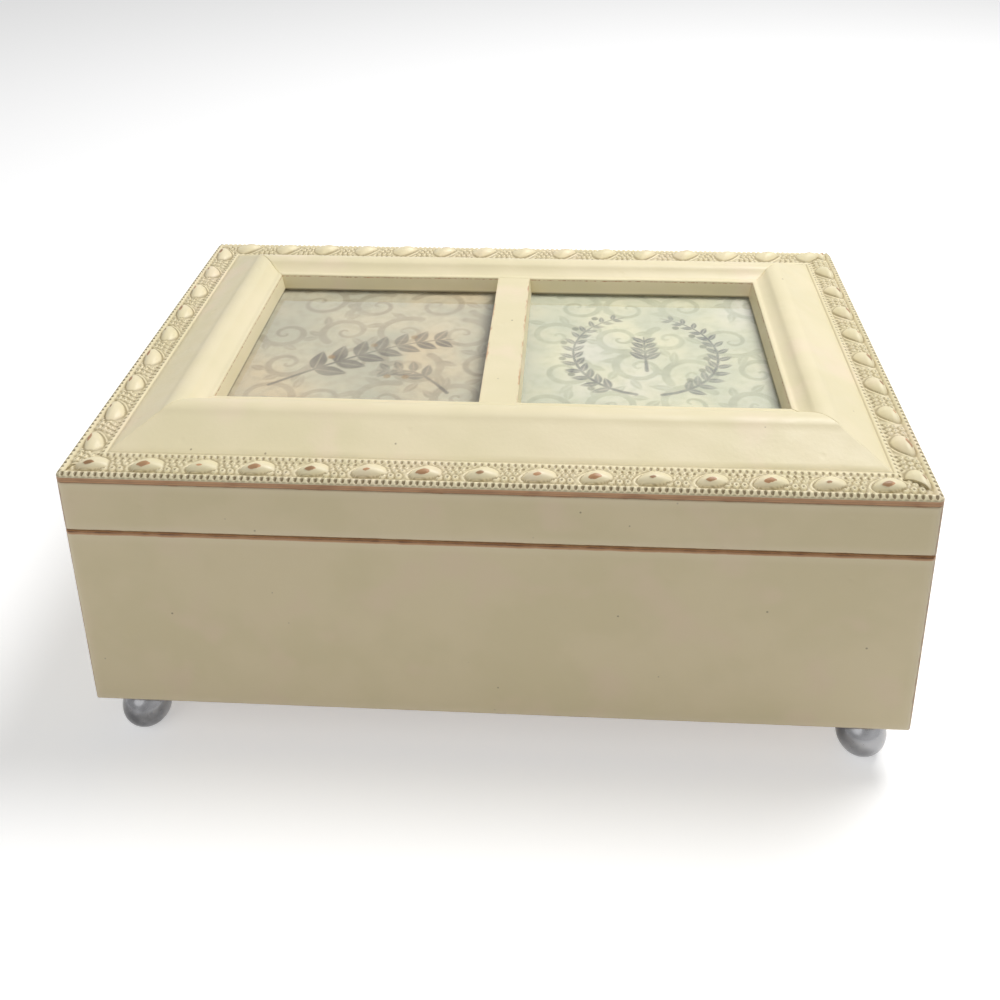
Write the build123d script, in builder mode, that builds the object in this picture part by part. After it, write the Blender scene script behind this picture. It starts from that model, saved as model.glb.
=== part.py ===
from build123d import *
import os
from math import cos, pi, radians, sin, tan

# Box, in millimetres: z = 0 is where the feet stand, the front faces -Y
BOX_WIDTH = 203.2
BOX_DEPTH = 127.0
FOOT_HEIGHT = 14.5
BASE_HEIGHT = 51.85
LID_FACE_HEIGHT = 13.95
SEAM_GAP = 0.4
BOARD = 8.0
CORNER_ROUND = 1.8
EDGE_ROUND = 0.6

# Bottom panel and feet
PANEL_THICKNESS = 4.5
PANEL_REBATE = 3.5
BALL_RADIUS = 6.25
NECK_RADIUS = 3.2
STUD_RADIUS = 1.5
STUD_LENGTH = 4.0
FOOT_INSET_X = 9.6
FOOT_INSET_Y = 8.0

# Lid moulding, measured in from the outer face and up from the lid's top edge
MOULDING_SEAT = -0.4
OUTER_EDGE_RISE = 1.05
BEAD_TOP = (1.25, 2.1)
BAND_START = (2.0, 1.3)
BAND_END = (7.6, 1.3)
INNER_BEAD_TOP = (8.7, 2.0)
INNER_BEAD_END = (9.3, 1.7)
SLOPE_START = (9.8, 2.02)
SLOPE_END = (19.3, 7.0)
CREST = (22.5, 8.0)
COVE_START = (24.6, 7.4)
COVE_MIDDLE = (26.2, 6.1)
LIP_START = (28.0, 5.2)
LIP_END = 29.2
WINDOW_INSET = 30.2
REBATE_INSET = 27.0
RAIL_UNDERSIDE = -4.4

# Windows
GLASS_TOP = 0.6
GLASS_THICKNESS = 2.0
CARD_THICKNESS = 0.4
PANE_CLEARANCE = 0.2
MULLION_TOP_WIDTH = 9.6
MULLION_FOOT_WIDTH = 10.7
MULLION_STEM_WIDTH = 4.7

# Inside of the base
LINING = 1.2
LINING_DROP = 1.6
DIVIDER_LEFT = 26.6
DIVIDER_THICKNESS = 5.0
DIVIDER_DROP = 4.0
CLEAT = 5.0
COVER_PANE_THICKNESS = 2.0
COVER_PANE_LIFT = 31.0

# Hinges, with the pin behind the back face at the height of the seam
HINGE_SPACING = 116.0
HINGE_LENGTH = 22.0
HINGE_PIN_OUT = 0.9
KNUCKLE_RADIUS = 1.5
PIN_RADIUS = 0.75
PIN_CLEARANCE = 0.05
LEAF_THICKNESS = 0.9
LEAF_DEPTH = 8.0
LEAF_GAP = 0.1
LID_KNUCKLE_LENGTH = 7.6
KNUCKLE_GAP = 0.2
HINGE_SCREW_OFFSET = 7.0
HINGE_SCREW_BACK = 5.0
HINGE_SCREW_HEAD = 1.5
HINGE_SCREW_SHANK = 0.9
HINGE_SCREW_LENGTH = 6.0

# Turn buttons that hold the backing boards
BUTTON_X = 38.5
BUTTON_INSET = 22.0
BUTTON_LENGTH = 16.0
BUTTON_WIDTH = 6.0
BUTTON_THICKNESS = 1.2
BUTTON_GAP = 0.15
BUTTON_SCREW_HEAD = 2.5
BUTTON_SCREW_SHANK = 1.2
BUTTON_SCREW_LENGTH = 5.0

# Musical movement, from its own centre on the bottom panel
MOVEMENT_X = 63.3
BEDPLATE_THICKNESS = 3.0
BARREL_X = -16.5
BARREL_RADIUS = 11.5
BARREL_WALL = 1.0
BARREL_TOP_THICKNESS = 1.2
BARREL_COVER_THICKNESS = 1.0
BARREL_COVER_LIFT = 3.4
BARREL_TOP = 13.4
ARBOR_RADIUS = 2.2
ARBOR_COLLAR_RADIUS = 3.6
RUNNING_CLEARANCE = 0.05
CROWN_TEETH = 27
CYLINDER_PINION_TEETH = 10
CROWN_MODULE = 0.8
CROWN_ADDENDUM = 0.55
CROWN_DEDENDUM = 0.8
CROWN_INNER_RADIUS = 9.9
TOOTH_SHARE = 0.36
CYLINDER_START = -3.5
CYLINDER_END = 15.5
CYLINDER_RADIUS = 6.5
CYLINDER_ARBOR_RADIUS = 1.0
PIN_WIDTH = 0.5
PIN_LENGTH = 0.7
TRACKS = 18
TRACK_PITCH = 1.0
STEPS = 72
TIP_CLEARANCE = 0.15
GREAT_WHEEL_TEETH = 48
GOVERNOR_PINION_TEETH = 8
TRAIN_MODULE = 0.4
TRAIN_ADDENDUM = 0.36
TRAIN_DEDENDUM = 0.5
GREAT_WHEEL_START = 18.2
GREAT_WHEEL_THICKNESS = 1.2
GOVERNOR_DROP_ANGLE = -35.0
WORM_WHEEL_TEETH = 24
WORM_MODULE = 0.5
WORM_ADDENDUM = 0.4
WORM_DEDENDUM = 0.6
WORM_WHEEL_START = 21.0
WORM_WHEEL_THICKNESS = 1.2
WORM_PITCH_RADIUS = 1.5
WORM_CORE_RADIUS = 0.9
WORM_TURNS = 4
PIVOT_RADIUS = 0.6
VANE_SPAN = 11.0
VANE_THICKNESS = 0.4
VANE_BOTTOM = 19.0
VANE_TOP = 26.0
COMB_TOP_OVER_AXIS = 0.5
COMB_THICKNESS = 1.0
COMB_BACK = -27.0
COMB_BASS_ROOT = -20.0
COMB_TREBLE_ROOT = -14.0
TOOTH_WIDTH = 0.7
KEY_GRIP_HEIGHT = 9.0
KEY_GRIP_LIFT = 2.8
KEY_WING_OFFSET = 6.4
KEY_THICKNESS = 1.6
KEY_HOLE_RADIUS = 4.5
STOP_Y = 28.0
STOP_Z = 23.0
STOP_ROD_Y = 44.0
STOP_WIRE_RADIUS = 0.8

# Heights and places worked out from the above
BASE_TOP = FOOT_HEIGHT + BASE_HEIGHT
LID_BOTTOM = BASE_TOP + SEAM_GAP
LID_TOP = LID_BOTTOM + LID_FACE_HEIGHT
FLOOR = FOOT_HEIGHT + PANEL_THICKNESS
RAIL_BOTTOM = LID_TOP + RAIL_UNDERSIDE
INNER_X = BOX_WIDTH / 2 - BOARD
INNER_Y = BOX_DEPTH / 2 - BOARD
REBATE_X = BOX_WIDTH / 2 - REBATE_INSET
REBATE_Y = BOX_DEPTH / 2 - REBATE_INSET
HINGE_Y = BOX_DEPTH / 2 + HINGE_PIN_OUT
HINGE_Z = BASE_TOP + SEAM_GAP / 2
HINGE_XS = (-HINGE_SPACING / 2, HINGE_SPACING / 2)
TALL = LID_TOP + CREST[1] + 10

CYLINDER_Z = BARREL_TOP + CROWN_DEDENDUM + CROWN_MODULE * CYLINDER_PINION_TEETH / 2
TRAIN_CENTRES = TRAIN_MODULE * (GREAT_WHEEL_TEETH + GOVERNOR_PINION_TEETH) / 2
GOVERNOR_Y = TRAIN_CENTRES * cos(radians(GOVERNOR_DROP_ANGLE))
GOVERNOR_Z = CYLINDER_Z + TRAIN_CENTRES * sin(radians(GOVERNOR_DROP_ANGLE))
WORM_X = WORM_WHEEL_START + WORM_WHEEL_THICKNESS / 2
WORM_Y = GOVERNOR_Y + WORM_MODULE * WORM_WHEEL_TEETH / 2 + WORM_PITCH_RADIUS
WORM_PITCH = pi * WORM_MODULE

os.makedirs("parts", exist_ok=True)


def write_piece(piece, label):
    piece.label = label
    export_step(piece, f"parts/{label}.step")


def at_movement(x, y, z):
    """A point of the movement in the frame of the box."""
    return (MOVEMENT_X + x, y, FLOOR + z)


# Each side of the box: its outer face's middle, the way along it and the way in
SIDES = {
    "front": ((0, -BOX_DEPTH / 2, 0), (1, 0, 0), (0, 1, 0), BOX_WIDTH),
    "back": ((0, BOX_DEPTH / 2, 0), (-1, 0, 0), (0, -1, 0), BOX_WIDTH),
    "left": ((-BOX_WIDTH / 2, 0, 0), (0, -1, 0), (1, 0, 0), BOX_DEPTH),
    "right": ((BOX_WIDTH / 2, 0, 0), (0, 1, 0), (-1, 0, 0), BOX_DEPTH),
}


def mitred_side(side, section):
    """A length of the section along one side, mitred at both ends, with rounded corners."""
    middle, along, inward, length = SIDES[side]
    reach = WINDOW_INSET + 1
    with BuildPart() as piece:
        with BuildSketch(Plane(origin=middle, x_dir=inward, z_dir=along)):
            add(section)
        extrude(amount=length / 2, both=True)
        with BuildSketch(Plane(origin=middle, x_dir=along, z_dir=(0, 0, 1))):
            with BuildLine():
                Polyline(
                    (-length / 2 - 1, -1),
                    (length / 2 + 1, -1),
                    (length / 2 - reach, reach),
                    (reach - length / 2, reach),
                    close=True,
                )
            make_face()
        extrude(amount=TALL, mode=Mode.INTERSECT)
        with BuildSketch():
            RectangleRounded(BOX_WIDTH, BOX_DEPTH, CORNER_ROUND)
        extrude(amount=TALL, mode=Mode.INTERSECT)
    return piece.part


# Base walls, with a rebate for the bottom panel
with BuildSketch() as wall_section:
    with BuildLine():
        Polyline(
            (0, FOOT_HEIGHT),
            (0, BASE_TOP),
            (BOARD, BASE_TOP),
            (BOARD, FLOOR),
            (BOARD - PANEL_REBATE, FLOOR),
            (BOARD - PANEL_REBATE, FOOT_HEIGHT),
            close=True,
        )
    make_face()
    fillet(wall_section.vertices().group_by(Axis.X)[0], EDGE_ROUND)

for side in ("front", "left", "right"):
    write_piece(mitred_side(side, wall_section.sketch), f"base_{side}_wall")


def hinge_screw_places(x, z):
    y = HINGE_Y - HINGE_SCREW_BACK
    return [(x - HINGE_SCREW_OFFSET, y, z), (x + HINGE_SCREW_OFFSET, y, z)]


def hinge_recess(leaf_bottom):
    """Cuts the mortises of one leaf, the room for the knuckles and the screw holes."""
    for x in HINGE_XS:
        with Locations((x, HINGE_Y - LEAF_DEPTH / 2, leaf_bottom + LEAF_THICKNESS / 2)):
            Box(HINGE_LENGTH, LEAF_DEPTH, LEAF_THICKNESS, mode=Mode.SUBTRACT)
        with Locations(Location((x, HINGE_Y, HINGE_Z), (0, 90, 0))):
            Cylinder(KNUCKLE_RADIUS + KNUCKLE_GAP, HINGE_LENGTH, mode=Mode.SUBTRACT)
        with Locations(*hinge_screw_places(x, HINGE_Z)):
            Cylinder(
                HINGE_SCREW_SHANK, 2 * (HINGE_SCREW_LENGTH + LEAF_GAP), mode=Mode.SUBTRACT
            )


BASE_LEAF_BOTTOM = HINGE_Z - LEAF_GAP - LEAF_THICKNESS
LID_LEAF_BOTTOM = HINGE_Z + LEAF_GAP

with BuildPart() as base_back_wall:
    add(mitred_side("back", wall_section.sketch))
    hinge_recess(BASE_LEAF_BOTTOM)
write_piece(base_back_wall.part, "base_back_wall")

# Bottom panel, with the key hole, the holes of the movement's screws and of the feet
MOVEMENT_SCREWS = [(-26.0, -14.0), (-26.0, 10.0), (23.5, -14.0)]
MOVEMENT_SCREW_SHANK = 1.25
MOVEMENT_SCREW_HEAD = 2.5
MOVEMENT_SCREW_HEAD_HEIGHT = 1.6
MOVEMENT_SCREW_BITE = 2.4
KEY_X = MOVEMENT_X + BARREL_X
foot_x = BOX_WIDTH / 2 - FOOT_INSET_X
foot_y = BOX_DEPTH / 2 - FOOT_INSET_Y
FOOT_PLACES = [(-foot_x, -foot_y), (foot_x, -foot_y), (-foot_x, foot_y), (foot_x, foot_y)]
PANEL_INSET = BOARD - PANEL_REBATE

with BuildPart() as bottom_panel:
    with BuildSketch(Plane.XY.offset(FOOT_HEIGHT)):
        Rectangle(BOX_WIDTH - 2 * PANEL_INSET, BOX_DEPTH - 2 * PANEL_INSET)
        with Locations((KEY_X, 0)):
            Circle(KEY_HOLE_RADIUS, mode=Mode.SUBTRACT)
        with Locations(*[(MOVEMENT_X + x, y) for x, y in MOVEMENT_SCREWS]):
            Circle(MOVEMENT_SCREW_SHANK, mode=Mode.SUBTRACT)
    extrude(amount=PANEL_THICKNESS)
    with BuildSketch(Plane.XY.offset(FOOT_HEIGHT)):
        with Locations(*FOOT_PLACES):
            Circle(STUD_RADIUS)
    extrude(amount=STUD_LENGTH, mode=Mode.SUBTRACT)
write_piece(bottom_panel.part, "bottom_panel")

# Ball feet, turned with a short neck and a stud that screws into the panel
ball_centre = (BALL_RADIUS**2 - 2.0**2) ** 0.5
neck_bottom = ball_centre + (BALL_RADIUS**2 - NECK_RADIUS**2) ** 0.5
flat_radius = (BALL_RADIUS**2 - ball_centre**2) ** 0.5
with BuildPart() as foot:
    with BuildSketch(Plane.XZ):
        with BuildLine():
            Line((0, 0), (flat_radius, 0))
            ThreePointArc(
                (flat_radius, 0), (BALL_RADIUS, ball_centre), (NECK_RADIUS, neck_bottom)
            )
            Polyline(
                (NECK_RADIUS, neck_bottom),
                (NECK_RADIUS, FOOT_HEIGHT),
                (STUD_RADIUS, FOOT_HEIGHT),
                (STUD_RADIUS, FOOT_HEIGHT + STUD_LENGTH),
                (0, FOOT_HEIGHT + STUD_LENGTH),
                (0, 0),
            )
        make_face()
    revolve(axis=Axis.Z)

with BuildPart() as ball_feet:
    with Locations(*FOOT_PLACES):
        add(foot.part)
write_piece(ball_feet.part, "ball_feet")


def board_between(low, high):
    """A plain board from its lowest to its highest corner."""
    size = [b - a for a, b in zip(low, high)]
    with BuildPart() as board:
        with Locations(low):
            Box(*size, align=(Align.MIN, Align.MIN, Align.MIN))
    return board.part


# Lining of the keepsake compartment
lining_bottom = FLOOR + LINING
lining_top = BASE_TOP - LINING_DROP
divider_top = BASE_TOP - DIVIDER_DROP
linings = {
    "lining_floor": ((-INNER_X, -INNER_Y, FLOOR), (DIVIDER_LEFT, INNER_Y, lining_bottom)),
    "lining_front": (
        (-INNER_X, -INNER_Y, lining_bottom),
        (DIVIDER_LEFT, LINING - INNER_Y, lining_top),
    ),
    "lining_back": (
        (-INNER_X, INNER_Y - LINING, lining_bottom),
        (DIVIDER_LEFT, INNER_Y, lining_top),
    ),
    "lining_left": (
        (-INNER_X, LINING - INNER_Y, lining_bottom),
        (LINING - INNER_X, INNER_Y - LINING, lining_top),
    ),
    "lining_right": (
        (DIVIDER_LEFT - LINING, LINING - INNER_Y, lining_bottom),
        (DIVIDER_LEFT, INNER_Y - LINING, divider_top),
    ),
}
for label, (low, high) in linings.items():
    write_piece(board_between(low, high), label)

# Divider, and the cleats that carry the cover pane over the movement
divider_right = DIVIDER_LEFT + DIVIDER_THICKNESS
cover_bottom = FLOOR + COVER_PANE_LIFT
write_piece(
    board_between((DIVIDER_LEFT, -INNER_Y, FLOOR), (divider_right, INNER_Y, divider_top)),
    "divider",
)
with BuildPart() as cover_cleats:
    with BuildSketch(Plane.XY.offset(cover_bottom)):
        with GridLocations(0, 2 * INNER_Y - CLEAT, 1, 2):
            with Locations(((divider_right + INNER_X) / 2, 0)):
                Rectangle(INNER_X - divider_right, CLEAT)
    extrude(amount=-CLEAT)
write_piece(cover_cleats.part, "cover_cleats")

# Cover pane, with a slot at the back for the stop rod
SLOT_WIDTH = 4.0
SLOT_FRONT = STOP_ROD_Y - 5.0
ROD_X = MOVEMENT_X + WORM_X
with BuildPart() as cover_pane:
    with BuildSketch(Plane.XY.offset(cover_bottom)):
        with Locations(((divider_right + INNER_X) / 2, 0)):
            Rectangle(
                INNER_X - divider_right - 2 * PANE_CLEARANCE, 2 * (INNER_Y - PANE_CLEARANCE)
            )
        with Locations((ROD_X, (SLOT_FRONT + INNER_Y) / 2)):
            SlotOverall(
                INNER_Y - SLOT_FRONT + SLOT_WIDTH, SLOT_WIDTH, rotation=90, mode=Mode.SUBTRACT
            )
    extrude(amount=COVER_PANE_THICKNESS)
write_piece(cover_pane.part, "movement_cover_pane")

# Lid skirt, cut from the same boards as the base
with BuildSketch() as skirt_section:
    with Locations((BOARD / 2, (LID_BOTTOM + LID_TOP + MOULDING_SEAT) / 2)):
        Rectangle(BOARD, LID_TOP + MOULDING_SEAT - LID_BOTTOM)
    fillet(skirt_section.vertices().group_by(Axis.X)[0], EDGE_ROUND)

for side in ("front", "left", "right"):
    write_piece(mitred_side(side, skirt_section.sketch), f"lid_{side}_skirt")

with BuildPart() as lid_back_skirt:
    add(mitred_side("back", skirt_section.sketch))
    hinge_recess(LID_LEAF_BOTTOM)
write_piece(lid_back_skirt.part, "lid_back_skirt")


def over_lid(point):
    """A point of the moulding's section, at its height in the box."""
    return (point[0], LID_TOP + point[1])


# Lid moulding: bead, band, second bead, slope, crest, cove and lip, rebated for the glass
with BuildSketch() as moulding_section:
    with BuildLine():
        Polyline(
            over_lid((BOARD, MOULDING_SEAT)),
            over_lid((0, MOULDING_SEAT)),
            over_lid((0, OUTER_EDGE_RISE)),
        )
        ThreePointArc(
            over_lid((0, OUTER_EDGE_RISE)), over_lid(BEAD_TOP), over_lid(BAND_START)
        )
        Line(over_lid(BAND_START), over_lid(BAND_END))
        ThreePointArc(
            over_lid(BAND_END), over_lid(INNER_BEAD_TOP), over_lid(INNER_BEAD_END)
        )
        Polyline(
            over_lid(INNER_BEAD_END),
            over_lid(SLOPE_START),
            over_lid(SLOPE_END),
        )
        ThreePointArc(over_lid(SLOPE_END), over_lid(CREST), over_lid(COVE_START))
        ThreePointArc(over_lid(COVE_START), over_lid(COVE_MIDDLE), over_lid(LIP_START))
        Polyline(
            over_lid(LIP_START),
            over_lid((LIP_END, LIP_START[1])),
            over_lid((WINDOW_INSET, GLASS_TOP)),
            over_lid((REBATE_INSET, GLASS_TOP)),
            over_lid((REBATE_INSET, RAIL_UNDERSIDE)),
            over_lid((BOARD, RAIL_UNDERSIDE)),
            over_lid((BOARD, MOULDING_SEAT)),
        )
    make_face()

BUTTON_Y = BOX_DEPTH / 2 - BUTTON_INSET
for side in ("left", "right"):
    write_piece(mitred_side(side, moulding_section.sketch), f"lid_moulding_{side}")
for side, y in (("front", -BUTTON_Y), ("back", BUTTON_Y)):
    with BuildPart() as moulding:
        add(mitred_side(side, moulding_section.sketch))
        with BuildSketch(Plane.XY.offset(RAIL_BOTTOM)):
            with Locations((-BUTTON_X, y), (BUTTON_X, y)):
                Circle(BUTTON_SCREW_SHANK)
        extrude(amount=BUTTON_SCREW_LENGTH, mode=Mode.SUBTRACT)
    write_piece(moulding.part, f"lid_moulding_{side}")

# Mullion between the windows, scribed to the two long rails
with BuildPart() as mullion:
    with BuildSketch(Plane.XZ):
        with BuildLine():
            Polyline(
                over_lid((-MULLION_STEM_WIDTH / 2, RAIL_UNDERSIDE)),
                over_lid((-MULLION_STEM_WIDTH / 2, GLASS_TOP)),
                over_lid((-MULLION_FOOT_WIDTH / 2, GLASS_TOP)),
                over_lid((-MULLION_TOP_WIDTH / 2, LIP_START[1])),
                over_lid((MULLION_TOP_WIDTH / 2, LIP_START[1])),
                over_lid((MULLION_FOOT_WIDTH / 2, GLASS_TOP)),
                over_lid((MULLION_STEM_WIDTH / 2, GLASS_TOP)),
                over_lid((MULLION_STEM_WIDTH / 2, RAIL_UNDERSIDE)),
                close=True,
            )
        make_face()
    extrude(amount=REBATE_Y, both=True)
    with BuildSketch(Plane.YZ):
        window_y = BOX_DEPTH / 2 - WINDOW_INSET
        lip_y = BOX_DEPTH / 2 - LIP_END
        with BuildLine():
            Polyline(
                over_lid((-REBATE_Y, RAIL_UNDERSIDE)),
                over_lid((REBATE_Y, RAIL_UNDERSIDE)),
                over_lid((REBATE_Y, GLASS_TOP)),
                over_lid((window_y, GLASS_TOP)),
                over_lid((lip_y, LIP_START[1])),
                over_lid((-lip_y, LIP_START[1])),
                over_lid((-window_y, GLASS_TOP)),
                over_lid((-REBATE_Y, GLASS_TOP)),
                close=True,
            )
        make_face()
    extrude(amount=MULLION_FOOT_WIDTH, both=True, mode=Mode.INTERSECT)
write_piece(mullion.part, "lid_mullion")

# Glass, picture card and backing board of each window
glass_bottom = LID_TOP + GLASS_TOP - GLASS_THICKNESS
card_bottom = glass_bottom - CARD_THICKNESS
layers = {
    "glass": (glass_bottom, LID_TOP + GLASS_TOP),
    "picture_card": (card_bottom, glass_bottom),
    "backing_board": (RAIL_BOTTOM, card_bottom),
}
near_x = MULLION_STEM_WIDTH / 2 + PANE_CLEARANCE
far_x = REBATE_X - PANE_CLEARANCE
pane_y = REBATE_Y - PANE_CLEARANCE
for label, (bottom, top) in layers.items():
    write_piece(board_between((-far_x, -pane_y, bottom), (-near_x, pane_y, top)), f"{label}_left")
    write_piece(board_between((near_x, -pane_y, bottom), (far_x, pane_y, top)), f"{label}_right")

# Turn buttons, each on its own screw
button_top = RAIL_BOTTOM - BUTTON_GAP
button_bottom = button_top - BUTTON_THICKNESS
BUTTONS = {
    "turn_button_front_left": (-BUTTON_X, -BUTTON_Y),
    "turn_button_front_right": (BUTTON_X, -BUTTON_Y),
    "turn_button_back_left": (-BUTTON_X, BUTTON_Y),
    "turn_button_back_right": (BUTTON_X, BUTTON_Y),
}
for label, place in BUTTONS.items():
    with BuildPart() as turn_button:
        with BuildSketch(Plane.XY.offset(button_bottom)):
            with Locations(place):
                SlotOverall(BUTTON_LENGTH, BUTTON_WIDTH, rotation=90)
                Circle(BUTTON_SCREW_SHANK + RUNNING_CLEARANCE, mode=Mode.SUBTRACT)
        extrude(amount=BUTTON_THICKNESS)
    write_piece(turn_button.part, label)

with BuildPart() as turn_button_screws:
    with BuildSketch(Plane.XY.offset(button_bottom - BUTTON_GAP)):
        with Locations(*BUTTONS.values()):
            Circle(BUTTON_SCREW_HEAD)
    extrude(amount=-BUTTON_THICKNESS)
    with BuildSketch(Plane.XY.offset(button_bottom - BUTTON_GAP)):
        with Locations(*BUTTONS.values()):
            Circle(BUTTON_SCREW_SHANK)
    extrude(amount=BUTTON_THICKNESS + 2 * BUTTON_GAP + BUTTON_SCREW_LENGTH)
write_piece(turn_button_screws.part, "turn_button_screws")


# Hinges: the base leaves carry the outer knuckles, the lid leaves the middle one
def countersink(leaf_bottom, mode):
    """The screw heads in both hinges' leaves, or the holes for them, widest at the seam."""
    low_radius = HINGE_SCREW_SHANK if leaf_bottom < HINGE_Z else HINGE_SCREW_HEAD
    high_radius = HINGE_SCREW_SHANK + HINGE_SCREW_HEAD - low_radius
    for x in HINGE_XS:
        with Locations(*hinge_screw_places(x, leaf_bottom + LEAF_THICKNESS / 2)):
            Cone(low_radius, high_radius, LEAF_THICKNESS, mode=mode)


def hinge_leaves(leaf_bottom, knuckles, bore_radius, others):
    """Leaves of both hinges, with their knuckles, cut clear of the other leaf's."""
    with BuildPart() as leaves:
        for x in HINGE_XS:
            with Locations((x, HINGE_Y - LEAF_DEPTH / 2, leaf_bottom + LEAF_THICKNESS / 2)):
                Box(HINGE_LENGTH, LEAF_DEPTH, LEAF_THICKNESS)
            for start, end in others:
                with Locations((x + (start + end) / 2, HINGE_Y, HINGE_Z)):
                    Box(
                        end - start,
                        2 * (KNUCKLE_RADIUS + KNUCKLE_GAP),
                        4 * KNUCKLE_RADIUS,
                        mode=Mode.SUBTRACT,
                    )
            for start, end in knuckles:
                with Locations(Location((x + (start + end) / 2, HINGE_Y, HINGE_Z), (0, 90, 0))):
                    Cylinder(KNUCKLE_RADIUS, end - start)
            with Locations(Location((x, HINGE_Y, HINGE_Z), (0, 90, 0))):
                Cylinder(bore_radius, HINGE_LENGTH, mode=Mode.SUBTRACT)
        countersink(leaf_bottom, Mode.SUBTRACT)
    return leaves.part


half_hinge = HINGE_LENGTH / 2
half_lid_knuckle = LID_KNUCKLE_LENGTH / 2
outer_start = half_lid_knuckle + KNUCKLE_GAP
base_knuckles = [(-half_hinge, -outer_start), (outer_start, half_hinge)]
lid_knuckles = [(-half_lid_knuckle, half_lid_knuckle)]
lid_knuckle_room = [(-outer_start, outer_start)]
base_knuckle_room = [(-half_hinge, -half_lid_knuckle), (half_lid_knuckle, half_hinge)]
write_piece(
    hinge_leaves(BASE_LEAF_BOTTOM, base_knuckles, PIN_RADIUS, lid_knuckle_room),
    "hinge_base_leaves",
)
write_piece(
    hinge_leaves(LID_LEAF_BOTTOM, lid_knuckles, PIN_RADIUS + PIN_CLEARANCE, base_knuckle_room),
    "hinge_lid_leaves",
)

with BuildPart() as hinge_pins:
    with Locations(*[Location((x, HINGE_Y, HINGE_Z), (0, 90, 0)) for x in HINGE_XS]):
        Cylinder(PIN_RADIUS, HINGE_LENGTH)
write_piece(hinge_pins.part, "hinge_pins")

for label, leaf_bottom, direction in (
    ("hinge_base_screws", BASE_LEAF_BOTTOM, -1),
    ("hinge_lid_screws", LID_LEAF_BOTTOM, 1),
):
    with BuildPart() as hinge_screws:
        for x in HINGE_XS:
            with Locations(*hinge_screw_places(x, HINGE_Z + direction * LEAF_GAP)):
                Cylinder(
                    HINGE_SCREW_SHANK,
                    HINGE_SCREW_LENGTH,
                    align=(Align.CENTER, Align.CENTER, Align.MIN if direction > 0 else Align.MAX),
                )
        countersink(leaf_bottom, Mode.ADD)
    write_piece(hinge_screws.part, label)

# Bedplate of the movement, with the riser that carries the comb
BED_LEFT = -29.5
BED_RIGHT = 27.5
BED_BACK = 15.0
TAIL_LEFT = 14.0
TAIL_BACK = 31.0
BED_CORNER = 2.5
COMB_BOTTOM = CYLINDER_Z + COMB_TOP_OVER_AXIS - COMB_THICKNESS
RISER_LEFT = -4.5
RISER_RIGHT = 16.0
RISER_BACK = -20.5
COMB_SCREWS = [(0.0, -24.0), (11.5, -24.0)]
COMB_SCREW_SHANK = 1.2
COMB_SCREW_HEAD = 2.2
COMB_SCREW_HEAD_HEIGHT = 1.3
COMB_SCREW_LENGTH = 5.0
with BuildPart() as bedplate:
    with BuildSketch(Plane(origin=at_movement(0, 0, 0))):
        with BuildLine():
            Polyline(
                (BED_LEFT, COMB_BACK),
                (BED_RIGHT, COMB_BACK),
                (BED_RIGHT, TAIL_BACK),
                (TAIL_LEFT, TAIL_BACK),
                (TAIL_LEFT, BED_BACK),
                (BED_LEFT, BED_BACK),
                close=True,
            )
        make_face()
        fillet(vertices(), BED_CORNER)
        with Locations((BARREL_X, 0)):
            Circle(ARBOR_RADIUS + RUNNING_CLEARANCE, mode=Mode.SUBTRACT)
    extrude(amount=BEDPLATE_THICKNESS)
    with BuildSketch(Plane(origin=at_movement(0, 0, 0))):
        with Locations(*MOVEMENT_SCREWS):
            Circle(MOVEMENT_SCREW_SHANK)
    extrude(amount=MOVEMENT_SCREW_BITE, mode=Mode.SUBTRACT)
    with BuildSketch(Plane(origin=at_movement(0, 0, BEDPLATE_THICKNESS))):
        with Locations(((RISER_LEFT + RISER_RIGHT) / 2, (COMB_BACK + RISER_BACK) / 2)):
            Rectangle(RISER_RIGHT - RISER_LEFT, RISER_BACK - COMB_BACK)
    extrude(amount=COMB_BOTTOM - BEDPLATE_THICKNESS)
    with BuildSketch(Plane(origin=at_movement(0, 0, COMB_BOTTOM))):
        with Locations(*COMB_SCREWS):
            Circle(COMB_SCREW_SHANK)
    extrude(amount=-COMB_SCREW_LENGTH, mode=Mode.SUBTRACT)
write_piece(bedplate.part, "movement_bedplate")

with BuildPart() as movement_screws:
    with BuildSketch(Plane(origin=at_movement(0, 0, -PANEL_THICKNESS))):
        with Locations(*MOVEMENT_SCREWS):
            Circle(MOVEMENT_SCREW_HEAD)
    extrude(amount=-MOVEMENT_SCREW_HEAD_HEIGHT)
    with BuildSketch(Plane(origin=at_movement(0, 0, -PANEL_THICKNESS))):
        with Locations(*MOVEMENT_SCREWS):
            Circle(MOVEMENT_SCREW_SHANK)
    extrude(amount=PANEL_THICKNESS + MOVEMENT_SCREW_BITE)
write_piece(movement_screws.part, "movement_screws")

# Comb: eighteen teeth, long in the bass and short in the treble
TIP_Y = -(CYLINDER_RADIUS + PIN_LENGTH + TIP_CLEARANCE)
with BuildPart() as comb:
    with BuildSketch(Plane(origin=at_movement(0, 0, COMB_BOTTOM))):
        with BuildLine():
            Polyline(
                (RISER_LEFT, COMB_BACK),
                (RISER_RIGHT, COMB_BACK),
                (RISER_RIGHT, COMB_TREBLE_ROOT),
                (RISER_LEFT, COMB_BASS_ROOT),
                close=True,
            )
        make_face()
        for track in range(TRACKS):
            tooth_x = CYLINDER_START + TRACK_PITCH * (track + 0.5) + TRACK_PITCH / 2
            with Locations((tooth_x, (TIP_Y + COMB_BASS_ROOT) / 2)):
                Rectangle(TOOTH_WIDTH, TIP_Y - COMB_BASS_ROOT)
        with Locations(*COMB_SCREWS):
            Circle(COMB_SCREW_SHANK, mode=Mode.SUBTRACT)
    extrude(amount=COMB_THICKNESS)
write_piece(comb.part, "comb")

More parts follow.
